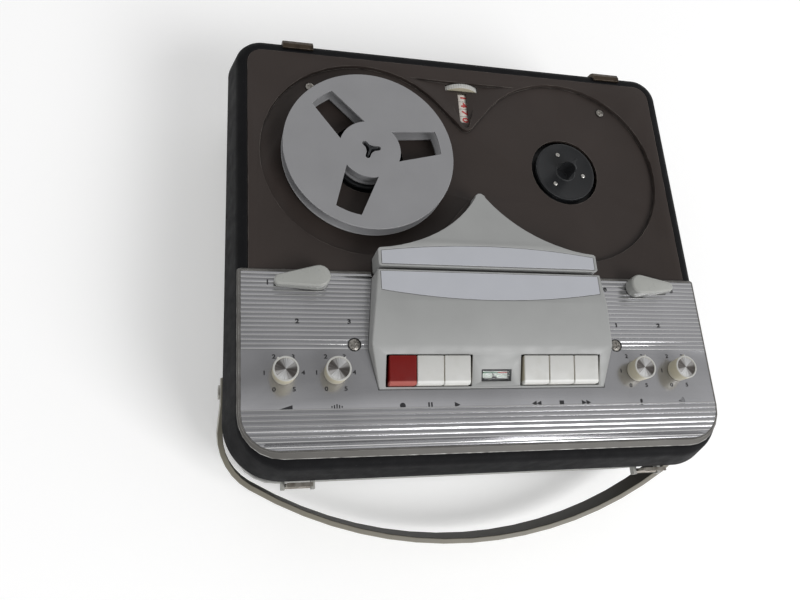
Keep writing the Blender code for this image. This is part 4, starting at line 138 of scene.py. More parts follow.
# Rim: its section, outwards from the deck's edge and upwards, and its plan
RIM_FOOT = 0.0145
RIM_SECTION = (
    (0.0, 0.1280),
    (0.0040, 0.1280),
    (0.0075, 0.1265),
    (0.0095, 0.1230),
    (RIM_FOOT, 0.1000),
    (0.0115, 0.1000),
    (0.0075, 0.1182),
    (-0.0050, 0.1182),
    (-0.0050, 0.1212),
    (0.0, 0.1212),
)
RIM_SPLAY = 0.004
RIM_SOFT = 0.0006
CASE_DEPTH = 0.3802
DECK_HALF = 0.195
DECK_FRONT = -0.14935
DECK_REAR = 0.20185
FRONT_CORNER = 0.0315
REAR_CORNER = 0.0135
CORNER_STEPS = 20

# Panel screws and the dark rings of painted shade round them
SCREW_RING_GAP = 0.00004
SCREW_RING_WIDTH = 0.0007
SCREW_RING_RAISE = 0.00015

# Reel
REEL_FLANGE = 0.0015
REEL_HUB_RADIUS = 0.0240
REEL_HUB_TOP = 0.0121
REEL_TURN = 10.0
WINDOW_INNER = 0.0264
WINDOW_INNER_HALF = 32.5  # degrees
WINDOW_OUTER = 0.0625
WINDOW_OUTER_HALF = 10.3  # degrees
WINDOW_STEPS = 12
REEL_SOFT = 0.00035
LOBE_COUNT = 3
LOBE_STEPS = 10
REEL_HOLE = (0.0042, 0.0093, 0.0022)  # core, lobe and half width

# Turntables
TURNTABLE_RADIUS = 0.0290
TURNTABLE_THICK = 0.0035
TURNTABLE_EDGE = 0.0007
TURNTABLE_HUB_RADIUS = 0.0080
TURNTABLE_SHAFT_RADIUS = 0.0040
DRIVE_WHEEL_RADIUS = 0.0340
DRIVE_WHEEL_TOP = -0.0095
DRIVE_WHEEL_THICK = 0.0060
COLLAR_RADIUS = 0.0092
COLLAR_HEIGHT = 0.0006
SPINDLE_HEIGHT = 0.0170
SPINDLE_FOOT = (0.0025, 0.0085, 0.0010)  # core, lobe and half width
SPINDLE_TAPER = ((0.0, 1.0), (0.06, 0.92), (0.80, 0.86), (0.95, 0.76), (1.0, 0.62))
SPINDLE_TURNS = {"feed_turntable": 10.0, "takeup_turntable": 48.0}
STUD_CIRCLE = 0.0177
STUD_SHIFT = 60.0  # degrees from a lobe to the next stud
STUD_RADIUS = 0.0020
STUD_HEIGHT = 0.0009

# Counter
NUMBER_RADIUS = 0.0153
NUMBER_WIDTH = 0.0078
NUMBER_GROOVE = NUMBER_WIDTH * 0.04
WHEEL_COUNT = 4
DIGIT_SIZE = 0.0085
DIGIT_RAISE = 0.00004
DIGIT_COUNT = 10
DIGIT_SHIFT = 3  # digits from a wheel to the next
DIGIT_TURN = 6.0  # degrees past the middle
COUNTER_SHAFT_RADIUS = 0.0020
THUMB_RADIUS = 0.0221
THUMB_BORE = 0.0023
THUMB_TEETH = 60
THUMB_NOTCH = 0.0005
THUMB_STEPS = 4  # corners to a tooth

# Level meter
SCALE_THICK = 0.0002
SCALE_MARGIN = 0.0009
SCALE_GAP = 0.00005
BAND_WIDTH = 0.0009
BAND_SHARE = 0.48  # of the card's half height
GREEN_SHARE = 0.62
MARK_THICK = SCALE_THICK * 0.8
TICK_COUNT = 9
TICK_DROP = BAND_WIDTH * 0.8
TICK_WIDTH = BAND_WIDTH / 4
SHIELD_SHARES = (0.12, 0.62)  # place and radius
SHIELD_STEPS = 16

# Handle
HANDLE_SOFT = 0.0009
# How far a face must turn towards the case to get the painted shade
INWARD_FACING = 0.4

# Nodes with a finer copy, by the width of its soft edges, and those with long swept sides
FINE_NODES = (
    (0.0004, ("lower_shell", "base_cover")),
    (0.0005, ("deck_plate",)),
    (0.0002, ("panel_frame",)),
    (0.0004, ("head_cover_front",)),
    (0.0006, ("head_cover_rear",)),
    (0.00015, ("front_plate", "rear_plate")),
    (0.0003, tuple("key_" + key for key in KEYS)),
    (0.0005, ("track_selector", "speed_selector")),
    (0.0002, ("panel_screw_left", "panel_screw_right", "deck_screw_left", "deck_screw_right")),
    (0.0004, ("lid_lug_left", "lid_lug_right")),
    (0.0003, ("latch_left", "latch_right")),
    (0.0002, ("level_meter",)),
    (0.0003, ("handle_pivot_left", "handle_pivot_right")),
    (0.0004, ("mains_inlet",)),
    (0.0005, ("foot_front_left", "foot_front_right", "foot_rear_left", "foot_rear_right")),
)
SWEPT_NODES = ("lower_shell", "base_cover")

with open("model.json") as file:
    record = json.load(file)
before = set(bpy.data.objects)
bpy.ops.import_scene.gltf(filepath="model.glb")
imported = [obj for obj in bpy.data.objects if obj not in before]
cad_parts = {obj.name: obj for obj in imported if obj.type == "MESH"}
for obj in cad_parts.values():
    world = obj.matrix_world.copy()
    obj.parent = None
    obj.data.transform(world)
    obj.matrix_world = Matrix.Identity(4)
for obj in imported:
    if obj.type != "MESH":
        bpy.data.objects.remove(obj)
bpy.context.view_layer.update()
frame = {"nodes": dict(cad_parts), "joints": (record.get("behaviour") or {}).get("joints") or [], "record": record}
NODES = frame["nodes"]
JOINTS = {joint["name"]: joint for joint in frame["joints"]}
SLOTS = {part["node"]: part["material_slot"] for part in frame["record"]["subparts"]}
BODY_OF = {}
for body_name, members in frame["record"]["behaviour"]["bodies"].items():
    for member in members:
        BODY_OF[member] = body_name


def pivot(joint):
    return Vector(JOINTS[joint]["pos_m"])


# Materials
def srgb(*values):
    """A colour as it shows on a screen, 0 to 255, as a linear one."""
    linear = []
    for value in values:
        share = value / 255
        linear.append(share / 12.92 if share <= 0.04045 else ((share + 0.055) / 1.055) ** 2.4)
    return tuple(linear)


def scaled(colour, share):
    return tuple(value * share for value in colour[:3])


def connect(tree, value, socket):
    """Links an input to another socket, or sets it to a plain value."""
    if isinstance(value, bpy.types.NodeSocket):
        tree.links.new(value, socket)
    else:
        socket.default_value = value


def set_inputs(tree, node, inputs):
    """Sets or links a shader node's inputs. In an input's name, _ stands for a space."""
    for name, value in inputs.items():
        connect(tree, value, node.inputs[name.replace("_", " ")])


def add_node(tree, kind, settings=(), **inputs):
    node = tree.nodes.new("ShaderNode" + kind)
    for name, value in dict(settings).items():
        setattr(node, name, value)
    set_inputs(tree, node, inputs)
    return node


class Finish:
    """A procedural material: a Principled shader with masks that tint, roughen and emboss it."""

    def __init__(self, name, colour, roughness, metallic=0.0, **inputs):
        self.name = name
        self.material = bpy.data.materials.new(name)
        self.material.use_nodes = True
        self.tree = self.material.node_tree
        self.shader = self.tree.nodes["Principled BSDF"]
        self.place = self.add("TexCoord")
        self.base = (*colour, 1.0)
        self.material.diffuse_color = self.base
        self.roughness = roughness
        self.colour = self.base
        self.normal = None
        self.set(Base_Color=self.base, Roughness=roughness, Metallic=metallic, **inputs)

    def add(self, kind, settings=(), **inputs):
        return add_node(self.tree, kind, settings, **inputs)

    def set(self, **inputs):
        set_inputs(self.tree, self.shader, inputs)
        return self

    def math(self, operation, *values):
        node = self.add("Math", {"operation": operation})
        for socket, value in zip(node.inputs, values):
            connect(self.tree, value, socket)
        return node.outputs[0]

    def noise(self, size, detail=3.0, stretch=EVEN):
        """Noise with features of about one size, drawn out along an axis by its stretch."""
        scale = [1 / (size * factor) for factor in stretch]
        mapping = self.add("Mapping", Scale=scale, Vector=self.place.outputs["Object"])
        node = self.add("TexNoise", Scale=1.0, Detail=detail, Vector=mapping.outputs["Vector"])
        return node.outputs["Fac"]

    def grain(self, size):
        """Small cells, as in grained leather cloth."""
        node = self.add("TexVoronoi", Scale=1 / size, Vector=self.place.outputs["Object"])
        return node.outputs["Distance"]

    def mask(self, value, low, high, amount=1.0):
        """0 where the value is low, up to the amount where it is high."""
        node = self.add("MapRange", From_Min=low, From_Max=high, To_Max=amount, Value=value)
        return node.outputs["Result"]

    def axis(self, name, source="Object"):
        return self.add("SeparateXYZ", Vector=self.place.outputs[source]).outputs[name]

    def tint(self, mask, colour):
        """Lays a colour over those that are there already."""
        node = self.add("Mix", {"data_type": "RGBA"}, Factor=mask)
        first, second = [socket for socket in node.inputs if socket.type == "RGBA"]
        connect(self.tree, self.colour, first)
        second.default_value = (*colour, 1.0)
        self.colour = next(socket for socket in node.outputs if socket.type == "RGBA")
        return self.set(Base_Color=self.colour)

    def mottle(self, size, share, stretch=EVEN):
        """Darker and lighter patches of about one size, by a share of the base colour."""
        noise = self.noise(size, stretch=stretch)
        self.tint(self.mask(noise, *DARK_PATCHES), scaled(self.base, 1 - share))
        return self.tint(self.mask(noise, *LIGHT_PATCHES), scaled(self.base, 1 + share))

    def soil(self, size, amount):
        """Dirt in patches of about one size."""
        dark = [value * share for value, share in zip(self.base, SOIL_SHARES)]
        return self.tint(self.mask(self.noise(size, 4.0), *SOIL_PATCHES, amount), dark)

    def dust(self, size, colour, amount, cover):
        """Specks of about one size; the higher the cover, the fewer there are."""
        return self.tint(self.mask(self.noise(size, 2.0), cover, cover + DUST_SPAN, amount), colour)

    def crevices(self, reach, colour, amount):
        """Dirt and painted shade in the corners, darker where ambient occlusion finds them."""
        node = self.add("AmbientOcclusion", {"samples": SHADER_SAMPLES}, Distance=reach)
        return self.tint(self.mask(node.outputs["AO"], *CORNER_DIRT_AND_SHADE, amount), colour)

    def wear(self, radius, colour, amount, size=0.004):
        """Paler edges, partly rubbed and partly painted highlight, found where a rounded normal differs, and
        broken up by noise of a size.
        """
        rounded = self.add("Bevel", {"samples": SHADER_SAMPLES}, Radius=radius)
        dot = self.add("VectorMath", {"operation": "DOT_PRODUCT"})
        for socket, node in zip(dot.inputs, (rounded, self.add("NewGeometry"))):
            connect(self.tree, node.outputs["Normal"], socket)
        edges = self.mask(dot.outputs["Value"], *RUBBED_AND_LIT_EDGES)
        patches = self.mask(self.noise(size), *RUBBED_AND_LIT_PATCHES, amount)
        return self.tint(self.math("MULTIPLY", edges, patches), colour)

    def sectors(self, turn, dark, light):
        """Painted reflection: a bow tie of light and dark sectors with fine rays, the sheen of a spun disc."""
        across, up = [self.math("SUBTRACT", self.axis(name, "Generated"), 0.5) for name in "XY"]
        angle = self.math("ARCTAN2", up, across)
        double = self.math("MULTIPLY", self.math("SUBTRACT", angle, radians(turn)), 2.0)
        wave = self.math("COSINE", double)
        self.tint(self.mask(wave, *DARK_SECTORS), dark)
        self.tint(self.mask(wave, *LIGHT_SECTORS), light)
        node = self.add("TexNoise", {"noise_dimensions": "1D"}, Scale=RAY_SCALE, Detail=3.0, W=angle)
        self.tint(self.mask(node.outputs["Fac"], *DARK_RAYS), dark)
        return self.tint(self.mask(node.outputs["Fac"], *LIGHT_RAYS), light)

    def smudge(self, size, roughness, detail=4.0, low=0.35, high=0.70):
        """Patches of about one size with another roughness."""
        mask = self.mask(self.noise(size, detail), low, high)
        node = self.add("MapRange", To_Min=self.roughness, To_Max=roughness, Value=mask)
        return self.set(Roughness=node.outputs["Result"])

    def emboss(self, height, depth, strength):
        node = self.add("Bump", Distance=depth, Strength=strength, Height=height)
        if self.normal is not None:
            connect(self.tree, self.normal, node.inputs["Normal"])
        self.normal = node.outputs["Normal"]
        return self.set(Normal=self.normal)

    def pit(self, size, depth, strength, detail=2.0, stretch=EVEN):
        """A fine unevenness with features of about one size."""
        return self.emboss(self.noise(size, detail, stretch), depth, strength)

    def groove(self, direction, **settings):
        """Lines too fine to see, left by a lathe round Z or by a brush along a map's first axis."""
        node = self.add("Tangent", {"direction_type": direction, **settings})
        return self.set(Tangent=node.outputs["Tangent"])


def leatherette():
    finish = Finish("leatherette", srgb(16, 16, 18), roughness=0.56, Specular_IOR_Level=0.12)
    finish.mottle(size=0.030, share=0.20)
    finish.dust(0.0011, srgb(78, 79, 82), amount=0.28, cover=0.69)
    finish.wear(0.0008, srgb(70, 68, 66), amount=0.50)
    finish.smudge(size=0.010, roughness=0.70, detail=3.0, low=0.3, high=0.7)
    finish.emboss(finish.grain(0.0011), depth=0.00012, strength=0.8)
    return finish.pit(size=0.0004, depth=0.00004, strength=0.6)


def brown_deck():
    finish = Finish("brown_deck", srgb(52, 45, 42), roughness=0.42, Specular_IOR_Level=0.25)
    finish.mottle(size=0.060, share=0.09)
    # Painted shade, with dirt, darkens the recess edges and corners
    finish.crevices(0.0022, srgb(14, 12, 11), amount=0.9)
    finish.dust(0.0009, srgb(112, 106, 100), amount=0.22, cover=0.71)
    # Pale lines of painted highlight along the edges, partly rubbed
    finish.wear(0.0007, srgb(122, 116, 110), amount=0.85, size=0.012)
    finish.smudge(size=0.025, roughness=0.54, detail=3.0, low=0.35, high=0.65)
    return finish.pit(size=0.0005, depth=0.00003, strength=0.5)


def moulded(name, colour, roughness, edge_colour, patch=0.035, **inputs):
    """Moulded plastic with faint patches, handling marks, painted shade and dirt in its corners, and paler edges
    that are partly rubbed and partly painted highlight.
    """
    finish = Finish(name, colour, roughness, **inputs)
    finish.mottle(size=patch, share=0.05)
    # Painted shade, with dirt, in the corners: a darker copy of the colour
    finish.crevices(0.0016, scaled(colour, 0.30), amount=0.7)
    finish.dust(0.0012, scaled(colour, 0.45), amount=0.30, cover=0.73)
    # Paler edges, partly rubbed and partly painted highlight
    finish.wear(0.0006, edge_colour, amount=0.75, size=0.010)
    finish.smudge(size=0.012, roughness=roughness + 0.12)
    return finish.pit(size=0.0006, depth=0.00002, strength=0.35)


def satin_plate():
    finish = Finish("satin_plate", srgb(180, 182, 188), roughness=0.36, metallic=0.15)
    finish.mottle(size=0.040, share=0.035)
    # Pale border lines of painted highlight round the plates, partly rubbed
    finish.wear(0.0005, srgb(214, 214, 212), amount=0.8, size=0.010)
    finish.smudge(size=0.015, roughness=0.48)
    return finish.pit(size=0.0003, depth=0.00001, strength=0.4, stretch=(12.0, 1.0, 1.0))


def ivory(name):
    finish = Finish(name, srgb(180, 180, 177), roughness=0.34)
    # Painted shade: the upright sides get a warmer beige than the tops
    shaded = finish.mask(finish.axis("Z", "Normal"), low=0.75, high=0.15, amount=0.8)
    finish.tint(shaded, srgb(186, 178, 152))
    finish.soil(size=0.010, amount=0.2)
    finish.wear(0.0004, srgb(214, 213, 206), amount=0.5)
    finish.smudge(size=0.006, roughness=0.46)
    return finish.pit(size=0.0008, depth=0.00002, strength=0.3)


def nosed(finish, colour):
    """A key's finish with a painted highlight on its front edge, which faces the light."""
    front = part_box("key_play")[0].y
    nose = finish.mask(finish.axis("Y"), low=front + KEY_NOSE, high=front + KEY_NOSE * 0.7, amount=0.85)
    return finish.tint(nose, colour)


def panel_metal():
    """Brushed sheet: painted highlight on the rib crests, painted shade in the troughs between them, smudges and
    scratches.
    """
    finish = Finish("panel_metal", srgb(184, 184, 187), roughness=0.19, metallic=0.92, Anisotropic=0.2)
    finish.groove("UV_MAP", uv_map="plan")
    finish.mottle(size=0.050, share=0.10, stretch=(1.0, 3.0, 1.0))
    lines = finish.noise(size=0.0006, stretch=(90.0, 1.0, 1.0))
    finish.tint(finish.mask(lines, low=0.50, high=0.72, amount=0.15), scaled(finish.base, 0.75))
    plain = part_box("panel_sheet")[1].z - RIB_HEIGHT
    # Painted shade in the troughs and painted highlight on the crests, by height over the plain sheet
    for low, high, amount, colour in RIB_SHADE_AND_HIGHLIGHT:
        raised = finish.mask(finish.axis("Z"), plain + low * RIB_HEIGHT, plain + high * RIB_HEIGHT, amount)
        finish.tint(raised, srgb(*colour))
    finish.dust(0.0009, srgb(216, 216, 216), amount=0.2, cover=0.74)
    finish.smudge(size=0.020, roughness=0.23, low=0.40, high=0.72)
    return finish.pit(size=0.0004, depth=0.000002, strength=0.3, stretch=(60.0, 1.0, 1.0))


def frame_metal():
    finish = Finish("frame_metal", srgb(96, 94, 91), roughness=0.50, metallic=0.2, Specular_IOR_Level=0.2)
    finish.mottle(size=0.030, share=0.08)
    # A bright line of painted highlight along the frame's edges, partly rubbed
    finish.wear(0.0005, srgb(206, 205, 202), amount=0.9, size=0.010)
    return finish.pit(size=0.0004, depth=0.00001, strength=0.4, stretch=(8.0, 1.0, 1.0))


def steel(name, colour, roughness, stain, patch=0.004):
    """Plated or turned steel with dull patches."""
    finish = Finish(name, colour, roughness, metallic=1.0)
    finish.tint(finish.mask(finish.noise(patch, 4.0), low=0.46, high=0.66, amount=0.8), stain)
    finish.wear(0.0004, srgb(214, 212, 206), amount=0.6, size=0.002)
    finish.smudge(size=0.003, roughness=roughness + 0.22)
    return finish.pit(size=0.0005, depth=0.00003, strength=0.5, detail=3.0)


def spun_cap():
    finish = Finish("spun_cap", srgb(204, 202, 200), roughness=0.24, metallic=1.0, Anisotropic=0.8)
    finish.groove("RADIAL", axis="Z")
    # Painted reflection: the sheen of spun metal in light and dark sectors
    finish.sectors(CAP_SHEEN_TURN, srgb(88, 82, 78), srgb(255, 255, 255))
    return finish.wear(0.0003, srgb(236, 232, 224), amount=0.5, size=0.002)


def rubber():
    finish = Finish("rubber", srgb(32, 32, 33), roughness=0.82)
    finish.mottle(size=0.008, share=0.15)
    finish.dust(0.0010, srgb(92, 90, 88), amount=0.35, cover=0.66)
    return finish.pit(size=0.0008, depth=0.00005, strength=0.6, detail=3.0)


def clear_window():
    finish = Finish("clear_window", (0.95, 0.97, 0.96), roughness=0.06, Transmission_Weight=1.0, IOR=1.2)
    return finish.smudge(size=0.003, roughness=0.18, low=0.45, high=0.75)


def printed(name, colour):
    """Ink or paint, slightly worn through."""
    finish = Finish(name, colour, roughness=0.55)
    faded = [value * 0.7 + 0.05 for value in colour]
    finish.tint(finish.mask(finish.noise(size=0.0008), low=0.58, high=0.75, amount=0.5), faded)
    return finish.pit(size=0.0004, depth=0.00001, strength=0.4)


def handle_outer():
    finish = Finish("handle_outer", srgb(158, 156, 146), roughness=0.42)
    # Painted shade: the upward faces darker olive
    upper = finish.mask(finish.axis("Z", "Normal"), low=0.55, high=0.85, amount=0.9)
    finish.tint(upper, srgb(108, 103, 90))
    finish.soil(size=0.030, amount=0.3)
    finish.dust(0.0012, srgb(98, 96, 86), amount=0.35, cover=0.70)
    finish.wear(0.0006, srgb(196, 195, 182), amount=0.7)
    return finish.pit(size=0.0007, depth=0.00003, strength=0.4)


# Painted shade: a dark finish for the band's face towards the case
def handle_inner():
    finish = Finish("handle_inner", srgb(42, 39, 34), roughness=0.60)
    finish.mottle(size=0.020, share=0.15)
    finish.dust(0.0012, srgb(110, 104, 94), amount=0.30, cover=0.68)
    return finish.pit(size=0.0009, depth=0.00005, strength=0.6, detail=3.0)


def circuit_board():
    finish = Finish("circuit_board", srgb(138, 102, 60), roughness=0.55)
    finish.mottle(size=0.006, share=0.15)
    finish.dust(0.0020, srgb(196, 190, 176), amount=0.8, cover=0.66)
    return finish.pit(size=0.0010, depth=0.00005, strength=0.5)


def red_key():
    finish = moulded("red_key", srgb(106, 12, 8), 0.42, srgb(160, 84, 76), 0.010, Specular_IOR_Level=0.12)
    return nosed(finish, srgb(176, 100, 92))


def black_plastic():
    edge = srgb(112, 114, 116)
    return moulded("black_plastic", srgb(30, 31, 33), 0.36, edge, 0.012, Specular_IOR_Level=0.35)


FINISHES = (
    leatherette(),
    brown_deck(),
    moulded("grey_cover", srgb(150, 151, 150), 0.38, srgb(196, 197, 196)),
    moulded("grey_shell", srgb(160, 160, 156), 0.46, srgb(190, 190, 186)),
    moulded("grey_lever", srgb(158, 159, 155), 0.26, srgb(206, 207, 204), 0.015),
    satin_plate(),
    ivory("ivory"),
    nosed(ivory("ivory_key"), srgb(216, 216, 213)),
    red_key(),
    moulded("reel_grey", srgb(134, 134, 136), 0.42, srgb(184, 184, 186)),
    black_plastic(),
    panel_metal(),
    frame_metal(),
    steel("steel", srgb(196, 194, 190), 0.30, srgb(140, 136, 130)),
    steel("zinc", srgb(176, 172, 160), 0.40, srgb(128, 118, 104)),
    steel("latch_metal", srgb(150, 146, 139), 0.36, srgb(104, 96, 86), 0.007),
    steel("lug_bronze", srgb(80, 70, 60), 0.40, srgb(52, 45, 39), 0.009),
    steel("old_screw", srgb(170, 166, 160), 0.30, srgb(40, 36, 32), 0.0013),
    spun_cap(),
    rubber(),
    clear_window(),
    printed("ink", srgb(26, 26, 30)),
    printed("red_ink", srgb(176, 62, 60)),
    printed("green_ink", srgb(52, 112, 84)),
    printed("scale_grey", srgb(208, 214, 208)),
    moulded("number_white", srgb(206, 198, 190), 0.50, srgb(222, 216, 208), 0.004),
    handle_outer(),
    handle_inner(),
    circuit_board(),
)
MATERIALS = {finish.name: finish.material for finish in FINISHES}

# Finishes of the record's slots, where their names differ, and of single nodes
SLOT_FINISHES = {
    "black_leatherette": "leatherette",
    "grey_plastic": "grey_cover",
    "ivory_plastic": "ivory",
    "red_plastic": "red_key",
    "reel_plastic": "reel_grey",
    "ribbed_aluminium": "panel_metal",
    "bright_steel": "steel",
    "zinc_plate": "zinc",
    "speaker_frame": "black_plastic",
    "number_wheel": "number_white",
    "handle_band": "handle_outer",
    "needle_black": "ink",
}
NODE_FINISHES = {
    "panel_frame": "frame_metal",
    "track_selector": "grey_lever",
    "speed_selector": "grey_lever",
}
for key in KEYS[1:]:
    NODE_FINISHES["key_" + key] = "ivory_key"
for side in ("left", "right"):
    NODE_FINISHES["latch_" + side] = "latch_metal"
    NODE_FINISHES["lid_lug_" + side] = "lug_bronze"
    NODE_FINISHES["panel_screw_" + side] = "old_screw"
    NODE_FINISHES["deck_screw_" + side] = "old_screw"


def finish_name(node):
    slot = SLOTS[node]
    return NODE_FINISHES.get(node, SLOT_FINISHES.get(slot, slot))


def dress_nodes():
    """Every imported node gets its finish, also those that a finer piece replaces below."""
    for name, obj in NODES.items():
        obj.data.materials.clear()
        obj.data.materials.append(MATERIALS[finish_name(name)])


# Shapes
def add_object(name, data):
    obj = bpy.data.objects.new(name, data)
    bpy.context.scene.collection.objects.link(obj)
    return obj


def place_piece(name, shape, finishes, body):
    """Makes a shape one piece of the scene that rides on a body."""
    bmesh.ops.recalc_face_normals(shape, faces=shape.faces)
    mesh = bpy.data.meshes.new(name)
    shape.to_mesh(mesh)
    shape.free()
    mesh.shade_smooth()
    mesh.set_sharp_from_angle(angle=radians(SMOOTH_ANGLE))
    for finish in finishes:
        mesh.materials.append(MATERIALS[finish])
    obj = add_object(name, mesh)
    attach(obj, body)
    return obj


def replace_node(node, shape, finishes=None, ending="_fine"):
    """Puts a shape in a node's place, in the node's own finish if no other is given."""
    obj = place_piece(node + ending, shape, finishes or [finish_name(node)], BODY_OF[node])
    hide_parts(node)
    return obj


def soften(obj, width, swept=False):
    """Rounds the hard edges. A swept shape is shaded smoothly along its facets."""
    modifier = obj.modifiers.new("soft_edges", "BEVEL")
    modifier.width = width
    modifier.segments = BEVEL_STEPS
    modifier.limit_method = "ANGLE"
    modifier.angle_limit = radians(SMOOTH_ANGLE)
    modifier.miter_outer = "MITER_ARC"
    modifier.harden_normals = not swept
    if swept:
        obj.modifiers.new("smooth_facets", "WEIGHTED_NORMAL").keep_sharp = True


def cleaned_copy(node):
    """A node's mesh with welded corners and its flat faces joined."""
    shape = bmesh.new()
    shape.from_mesh(NODES[node].data)
    bmesh.ops.remove_doubles(shape, verts=shape.verts, dist=WELD)
    bmesh.ops.dissolve_limit(
        shape, angle_limit=radians(FLAT_ANGLE), verts=shape.verts, edges=shape.edges, delimit=set()
    )
    large = [face for face in shape.faces if len(face.verts) > FEW_CORNERS]
    bmesh.ops.triangulate(shape, faces=large, ngon_method="BEAUTY")
    return shape


def middle_of(node, height):
    """The middle of a node's box seen from above, at a height of its own."""
    low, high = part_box(node)
    return Vector(((low.x + high.x) / 2, (low.y + high.y) / 2, height))


def arc(centre, radius, start, end, steps):
    angles = [radians(start + (end - start) * i / steps) for i in range(steps + 1)]
    return [(centre[0] + radius * cos(a), centre[1] + radius * sin(a)) for a in angles]


def circle(radius, steps=ROUND_STEPS):
    return arc((0, 0), radius, 0, 360, steps)[:-1]


def ring_at(shape, outline, height, centre=Vector()):
    return [shape.verts.new(centre + Vector((x, y, height))) for x, y in outline]


def wall(shape, *rings):
    """Faces from each ring of corners to the next."""
    for low, high in zip(rings, rings[1:]):
        for i in range(len(low)):
            shape.faces.new((low[i - 1], low[i], high[i], high[i - 1]))


def tube(shape, outline, low, high, centre):
    """A wall between two heights; gives its lower and its upper ring."""
    rings = ring_at(shape, outline, low, centre), ring_at(shape, outline, high, centre)
    wall(shape, *rings)
    return rings


def fill(shape, rings):
    """A flat face inside the first ring, with the other rings as its holes."""
    edges = []
    for ring in rings:
        for i in range(len(ring)):
            pair = (ring[i - 1], ring[i])
            edges.append(shape.edges.get(pair) or shape.edges.new(pair))
    bmesh.ops.triangle_fill(shape, use_beauty=True, edges=edges)


def turned(shape, profile, steps, centre):
    """Turns (radius, height) points round an upright axis; a point on the axis closes the shape."""
    rings = []
    for radius, height in profile:
        rings.append(ring_at(shape, circle(radius, steps) if radius else [(0, 0)], height, centre))
    for low, high in zip(rings, rings[1:]):
        for i in range(steps):
            j = (i + 1) % steps
            corners = [low[i % len(low)], low[j % len(low)], high[j % len(high)], high[i % len(high)]]
            shape.faces.new(list(dict.fromkeys(corners)))


def prism(shape, outline, low, high, place, slot=0):
    """Extrudes an outline of (x, y) points between two heights."""
    bottom = [shape.verts.new(place @ Vector((x, y, low))) for x, y in outline]
    top = [shape.verts.new(place @ Vector((x, y, high))) for x, y in outline]
    faces = [shape.faces.new(bottom[::-1]), shape.faces.new(top)]
    for i in range(len(outline)):
        faces.append(shape.faces.new((bottom[i - 1], bottom[i], top[i], top[i - 1])))
    for face in faces:
        face.material_index = slot


def letters(text, size, thick):
    """A text as a mesh of its own, its middle at the origin."""
    curve = bpy.data.curves.new("letters", "FONT")
    curve.body = text
    curve.size = size
    curve.extrude = thick / 2
    curve.offset = size * LETTER_WEIGHT
    curve.resolution_u = LETTER_FINENESS
    curve.align_x = "CENTER"
    curve.align_y = "CENTER"
    obj = add_object("letters", curve)
    bpy.context.view_layer.update()
    mesh = bpy.data.meshes.new_from_object(obj)
    bpy.data.objects.remove(obj)
    bpy.data.curves.remove(curve)
    return mesh


def print_letters(shape, text, size, thick, place, slot=0, bend=None):
    """Adds a text to a shape. The bend is a radius round which it wraps about the text's own X axis."""
    mesh = letters(text, size, thick)
    part = bmesh.new()
    part.from_mesh(mesh)
    bpy.data.meshes.remove(mesh)
    for vert in part.verts:
        vert.co.x *= LETTER_STRETCH
    if bend:
        for i in range(1, DIGIT_SLICES):
            height = size * (i / DIGIT_SLICES - 0.5)
            everything = part.verts[:] + part.edges[:] + part.faces[:]
            bmesh.ops.bisect_plane(part, geom=everything, plane_co=(0, height, 0), plane_no=(0, 1, 0))
        for vert in part.verts:
            turn = vert.co.y / bend
            radius = bend + vert.co.z
            vert.co = Vector((vert.co.x, radius * sin(turn), radius * cos(turn) - bend))
    copies = {vert: shape.verts.new(place @ vert.co) for vert in part.verts}
    for face in part.faces:
        shape.faces.new([copies[vert] for vert in face.verts]).material_index = slot
    part.free()


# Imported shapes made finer
def refine(node, width):
    """A copy of a node with smooth rounds and soft edges takes its place."""
    obj = replace_node(node, cleaned_copy(node))
    soften(obj, width, node in SWEPT_NODES)


def make_panel_sheet():
    """The ribbed sheet, with a plan map for its brushing."""
    mesh = replace_node("panel_sheet", cleaned_copy("panel_sheet")).data
    layer = mesh.uv_layers.new(name="plan")
    for loop in mesh.loops:
        layer.data[loop.index].uv = mesh.vertices[loop.vertex_index].co.xy


def make_handle():
    """The band: pale outside and on its edges, with a dark finish of painted shade on the face towards the case.
    """
    shape = cleaned_copy("handle")
    bmesh.ops.recalc_face_normals(shape, faces=shape.faces)
    low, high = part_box("handle")
    middle = Vector((0, high.y, (low.z + high.z) / 2))
    for face in shape.faces:
        inward = middle - face.calc_center_median()
        inward.z = 0
        # Faces towards the case get the painted shade
        face.material_index = int(face.normal.dot(inward.normalized()) > INWARD_FACING)
    soften(replace_node("handle", shape, ["handle_outer", "handle_inner"]), HANDLE_SOFT)


# Rim, and the rings of painted shade round the panel screws
def case_plan(out):
    """The deck's edge, moved outwards, with finely stepped corners."""
    outline = []
    for side, edge, radius, start in (
        (1, DECK_REAR, REAR_CORNER, 0),
        (-1, DECK_REAR, REAR_CORNER, 90),
        (-1, DECK_FRONT, FRONT_CORNER, 180),
        (1, DECK_FRONT, FRONT_CORNER, 270),
    ):
        inward = -radius if edge > 0 else radius
        centre = (side * (DECK_HALF - radius), edge + inward)
        outline += arc(centre, radius + out, start, start + 90, CORNER_STEPS)
    return outline


def splayed(x, y):
    """A corner of the rim's foot, moved outwards the more it lies to the front."""
    share = (DECK_REAR + RIM_FOOT - y) / CASE_DEPTH
    return x + (RIM_SPLAY if x > 0 else -RIM_SPLAY) * share, y


def make_rim():
    """The black rim, swept round the case, whose foot spreads towards the front."""
    shape = bmesh.new()
    rings = []
    for out, height in RIM_SECTION:
        outline = case_plan(out)
        if out == RIM_FOOT:
            outline = [splayed(x, y) for x, y in outline]
        rings.append(ring_at(shape, outline, height))
    wall(shape, *rings, rings[0])
    soften(replace_node("case_rim", shape), RIM_SOFT, True)


